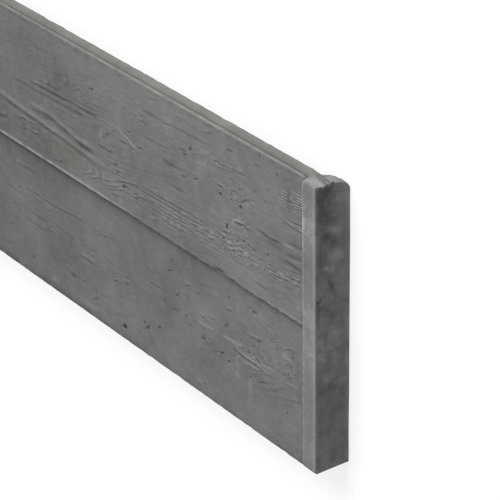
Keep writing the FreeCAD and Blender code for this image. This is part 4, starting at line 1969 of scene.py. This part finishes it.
STAINS = (
    # Dark hollows along the two long lines, and their pale ridges.
    Stain(455, 167.3, 15, 1.8, 0.22),
    Stain(422, 164.5, 18, 1.5, 0.18),
    Stain(385, 163.5, 20, 1.4, 0.14),
    Stain(345, 160.3, 16, 1.3, 0.14),
    Stain(392, 176.5, 14, 2.4, 0.18),
    Stain(370, 173, 10, 2.0, 0.14),
    Stain(336, 167.6, 13, 2.0, 0.22),
    Stain(472, 174, 4, 1.3, -0.16),
    Stain(455, 171, 12, 1.4, -0.12),
    Stain(420, 169.5, 18, 1.5, -0.09),
    Stain(385, 167.8, 18, 1.4, -0.1),
    Stain(350, 164.5, 18, 1.3, -0.12),
    Stain(412, 180, 8, 1.2, -0.1),
    Stain(383, 178.3, 14, 1.5, -0.08),
    Stain(345, 174, 16, 2.4, -0.08),
    Stain(313, 161.5, 14, 1.2, -0.14),
    Stain(288, 166, 10, 1.2, -0.1, 12),
    Stain(300, 166.5, 10, 1.2, 0.1, 4),
    Stain(357, 158, 5, 0.8, -0.15),
    # The arch, and the fan beside it.
    Stain(326, 157, 8, 1.0, -0.12, -6),
    Stain(314, 151, 1.4, 4, -0.14),
    Stain(324, 153.5, 9, 2.0, 0.1, -8),
    Stain(310, 154.5, 2.2, 5, 0.13),
    Stain(303, 150, 2.5, 8, -0.08),
    Stain(286, 154.5, 12, 0.9, -0.12, 18),
    Stain(283, 150.8, 10, 0.8, 0.14, 18),
    Stain(286, 147, 11, 0.9, -0.12, 18),
    Stain(278, 137.7, 3, 0.7, -0.3, 15),
    Stain(268.5, 138.5, 1.5, 0.9, 0.3, 20),
    # The knot's own pale rings, and the dark wood round it.
    Stain(300, 203, 9, 6, -0.07),
    Stain(297, 190.5, 2.4, 1.8, -0.14),
    Stain(305.5, 185.5, 2, 2.6, -0.12),
    Stain(301, 179.7, 8, 1.0, 0.2),
    Stain(268, 202.3, 12, 1.7, -0.28, -14),
    Stain(263, 206, 10, 1.3, 0.2, -8),
    Stain(268, 188.5, 6, 3, -0.08),
    Stain(258, 189, 4, 4, 0.1),
    Stain(281, 186, 4, 4, 0.1),
    Stain(272, 196.4, 4, 1.1, 0.22),
    # Lines over the knot.
    Stain(403, 202, 14, 1.6, 0.25),
    Stain(382, 202.6, 10, 1.4, 0.2),
    Stain(371, 203.2, 4, 1.4, 0.25),
    Stain(337, 204.4, 22, 1.5, 0.18),
    Stain(388, 208.2, 14, 1.0, 0.15),
    Stain(338, 208.6, 18, 1.2, 0.13),
    Stain(365, 197, 22, 1.5, 0.1),
    Stain(340, 198.4, 5, 1.3, 0.18),
    Stain(452, 190, 22, 7, 0.1),
    Stain(361, 218, 2, 1.2, 0.25),
    # Scars near the step.
    Stain(476, 149, 5, 1.3, 0.25, 20),
    Stain(437, 159.4, 5, 1.0, 0.25),
    Stain(436, 150, 4, 1.3, 0.2, 25),
    Stain(416, 154, 2.5, 0.8, -0.2, 10),
    Stain(448, 143.5, 4, 1.0, 0.2, 30),
    Stain(376, 139, 1.4, 3, 0.2),
    Stain(412, 146, 7, 1.4, -0.08),
    # The middle stretch.
    Stain(190, 183.6, 9, 1.6, 0.2),
    Stain(204, 202, 9, 1.5, 0.22),
    Stain(188, 202.5, 9, 1.3, 0.1),
    Stain(247, 200.9, 5, 1.1, 0.18, 6),
    Stain(225, 237.3, 11, 1.5, 0.18),
    Stain(170, 239.2, 24, 1.6, 0.1),
    Stain(164, 243, 7, 1.4, 0.1),
    Stain(192, 222, 34, 9, 0.06),
    Stain(196, 208, 9, 4, 0.08),
    Stain(150, 233, 10, 3, -0.06),
    Stain(135, 181, 26, 8, -0.06),
    Stain(215, 173, 24, 6, -0.05),
    Stain(182.5, 198.6, 3, 1.0, 0.3),
    Stain(118, 245.6, 4, 1.4, 0.22, 10),
    Stain(80, 247, 2, 1.2, 0.25),
    Stain(44, 248.4, 3, 1.2, 0.22),
    Stain(37, 234, 2.0, 9, 0.2),
    Stain(33, 227, 15, 15, 0.2),
    Stain(42, 184, 20, 7, 0.06),
    Stain(30, 203, 14, 8, 0.06),
    Stain(116, 228.3, 6, 0.9, 0.22, 10),
    Stain(97, 233, 5, 1.0, 0.12, 10),
    Stain(64, 221.3, 9, 0.9, 0.2, 5),
    Stain(94, 210.3, 7, 1.1, 0.2, 14),
    Stain(120, 199, 5, 1.3, 0.15, 15),
    Stain(62, 190.6, 15, 1.1, 0.22),
    Stain(53, 186.8, 10, 3.4, 0.2),
    Stain(32, 182, 9, 1.6, -0.14),
    Stain(50, 196, 5, 3, 0.1),
    Stain(105, 186, 3, 1.1, 0.3, 12),
    Stain(94.5, 186.5, 3, 1.1, 0.35),
    Stain(111, 184, 2.6, 3, -0.25),
    Stain(103, 190, 6, 1.1, -0.25, 12),
    Stain(33, 177.6, 11, 2.2, 0.22),
    Stain(30, 186.5, 9, 1.2, 0.2, 8),
    Stain(28, 196.5, 8, 1.0, 0.15, 6),
    Stain(35, 206, 7, 1.6, -0.12, 8),
    Stain(38, 192.6, 8, 1.0, -0.12),
    Stain(77, 188, 3, 2, -0.12),
    Stain(70, 166.8, 4, 1.0, 0.2, 12),
    Stain(76, 143.2, 8, 1.2, 0.15),
    Stain(115, 163, 36, 12, -0.04),
    # The near margin.
    Stain(15, 222.5, 2.0, 7, -0.9),
    Stain(15.5, 205, 1.6, 7, -0.25),
    Stain(8.5, 219, 1.8, 14, -0.14),
    Stain(8, 248, 9, 9, 0.1),
    Stain(11, 232, 3, 8, 0.07),
    Stain(9, 184, 6, 9, 0.06),
    # The lower plank.
    Stain(108, 55, 2.4, 11, -0.16),
    Stain(108, 43.5, 2.2, 3.5, -0.25),
    Stain(90, 41, 2.2, 8, -0.2),
    Stain(90, 26, 2.0, 9, -0.1),
    Stain(108.5, 106, 1.8, 6, -0.1),
    Stain(85, 66.6, 14, 1.2, -0.16),
    Stain(116, 72, 14, 1.0, -0.1),
    Stain(82, 64.4, 13, 0.9, 0.12),
    Stain(79, 88.4, 3.2, 1.2, 0.3, 28),
    Stain(90, 88, 4, 1.3, 0.15, 10),
    Stain(72, 105, 6, 0.9, 0.18, -5),
    Stain(42, 92, 4, 4.5, -0.16),
    Stain(124.5, 82.5, 3, 1.3, 0.3, 20),
    Stain(74, 53.4, 6, 0.8, 0.2, 25),
    Stain(55, 50.5, 7, 1.0, 0.16, 25),
    Stain(22, 62, 1.6, 6, 0.2),
    Stain(60, 71, 24, 3, -0.05),
    Stain(395, 13, 6, 2.5, -0.25),
    Stain(335, 11, 13, 2, -0.25),
    Stain(455, 110, 3, 2, -0.2),
)
END_STAINS = (
    # The dark upper front, and the hollow under it with its tail.
    Stain(25, 253, 10, 12, 0.5),
    Stain(18, 258, 7, 6, 0.25),
    Stain(25.5, 231, 9.5, 14, 0.48),
    Stain(33, 248, 1.6, 3, 0.33),
    Stain(24, 212, 6.5, 7, 0.47),
    Stain(14, 205.5, 8, 4, 0.31, -31),
    Stain(28.5, 194, 5, 11, 0.31),
    Stain(24, 193, 1.6, 8, 0.17),
    # The crack, and the dark lines level with the step.
    Stain(18.5, 169, 1.6, 9.5, 0.55, 21),
    Stain(30, 159.3, 4.5, 1.4, 0.49, 30),
    Stain(32, 145, 2.2, 14, 0.39),
    Stain(26, 150.5, 4.5, 3.5, 0.39),
    Stain(19, 143.5, 8, 2.2, 0.33, -57),
    # The lower half.
    Stain(23.5, 120, 2, 10, 0.27),
    Stain(22, 110, 6, 2.5, 0.19),
    Stain(20, 78, 4, 4, 0.33),
    Stain(27, 74.5, 4, 3, 0.31),
    Stain(7, 68.5, 2, 5, 0.25),
    Stain(30, 58, 4, 5, 0.19),
    # Pale smears.
    Stain(5.5, 234, 5, 22, -0.16),
    Stain(9, 248, 1.8, 5, -0.27, -30),
    Stain(16.6, 217.5, 5.5, 3, -0.47, -28),
    Stain(12, 192, 8, 6, -0.24),
    Stain(10, 194, 6, 1.4, -0.2, -40),
    Stain(24, 185, 1.6, 1.9, -0.68),
    Stain(18, 183.5, 2.2, 4, -0.34),
    Stain(8.5, 169, 6, 16, -0.27),
    Stain(29.8, 162.8, 3.2, 1.4, -0.41, 20),
    Stain(23, 160, 4, 2, -0.27),
    Stain(14, 120, 7, 10, -0.14),
    Stain(26, 105, 2.5, 3.5, -0.27),
    Stain(13.7, 105.6, 1.8, 3, -0.27),
    Stain(2, 96, 1.8, 4.5, -0.54),
    Stain(17, 88, 3, 1.6, -0.27, 25),
    Stain(22.5, 85.5, 3, 2.5, -0.34),
    Stain(7, 79.5, 5, 1.8, -0.41, 12),
)
WARMTH = (
    Stain(along=430, height=190, run=110, rise=45, amount=0.35),
    Stain(along=350, height=150, run=70, rise=25, amount=0.4),
    Stain(along=450, height=55, run=50, rise=40, amount=0.25),
    Stain(along=200, height=256, run=160, rise=10, amount=0.35),
    Stain(along=32, height=160, run=26, rise=22, amount=0.35),
)


def main() -> None:
    """Build the board, its finish, the studio and the camera."""
    logging.basicConfig(level=logging.INFO, format="%(message)s")
    bpy.context.scene.view_settings.view_transform = "Standard"
    sizes = BoardSizes.from_frame(NODE)
    board = GravelBoard(sizes, upper=UPPER_WOOD, lower=LOWER_WOOD, blowholes=BLOWHOLES, nicks=NICKS,
                        stains=STAINS, end_stains=END_STAINS, warmth=WARMTH).build()
    board.data.materials.append(CastConcrete().material())
    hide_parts(NODE)
    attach(board, "root")
    triangles = sum(len(face.vertices) - 2 for face in board.data.polygons)
    log.info("%s: %d triangles", board.name, triangles)
    Studio().build()
    PhotoCamera().build(sizes)
    log.info("studio and camera are set")


if __name__ == "__main__":
    main()
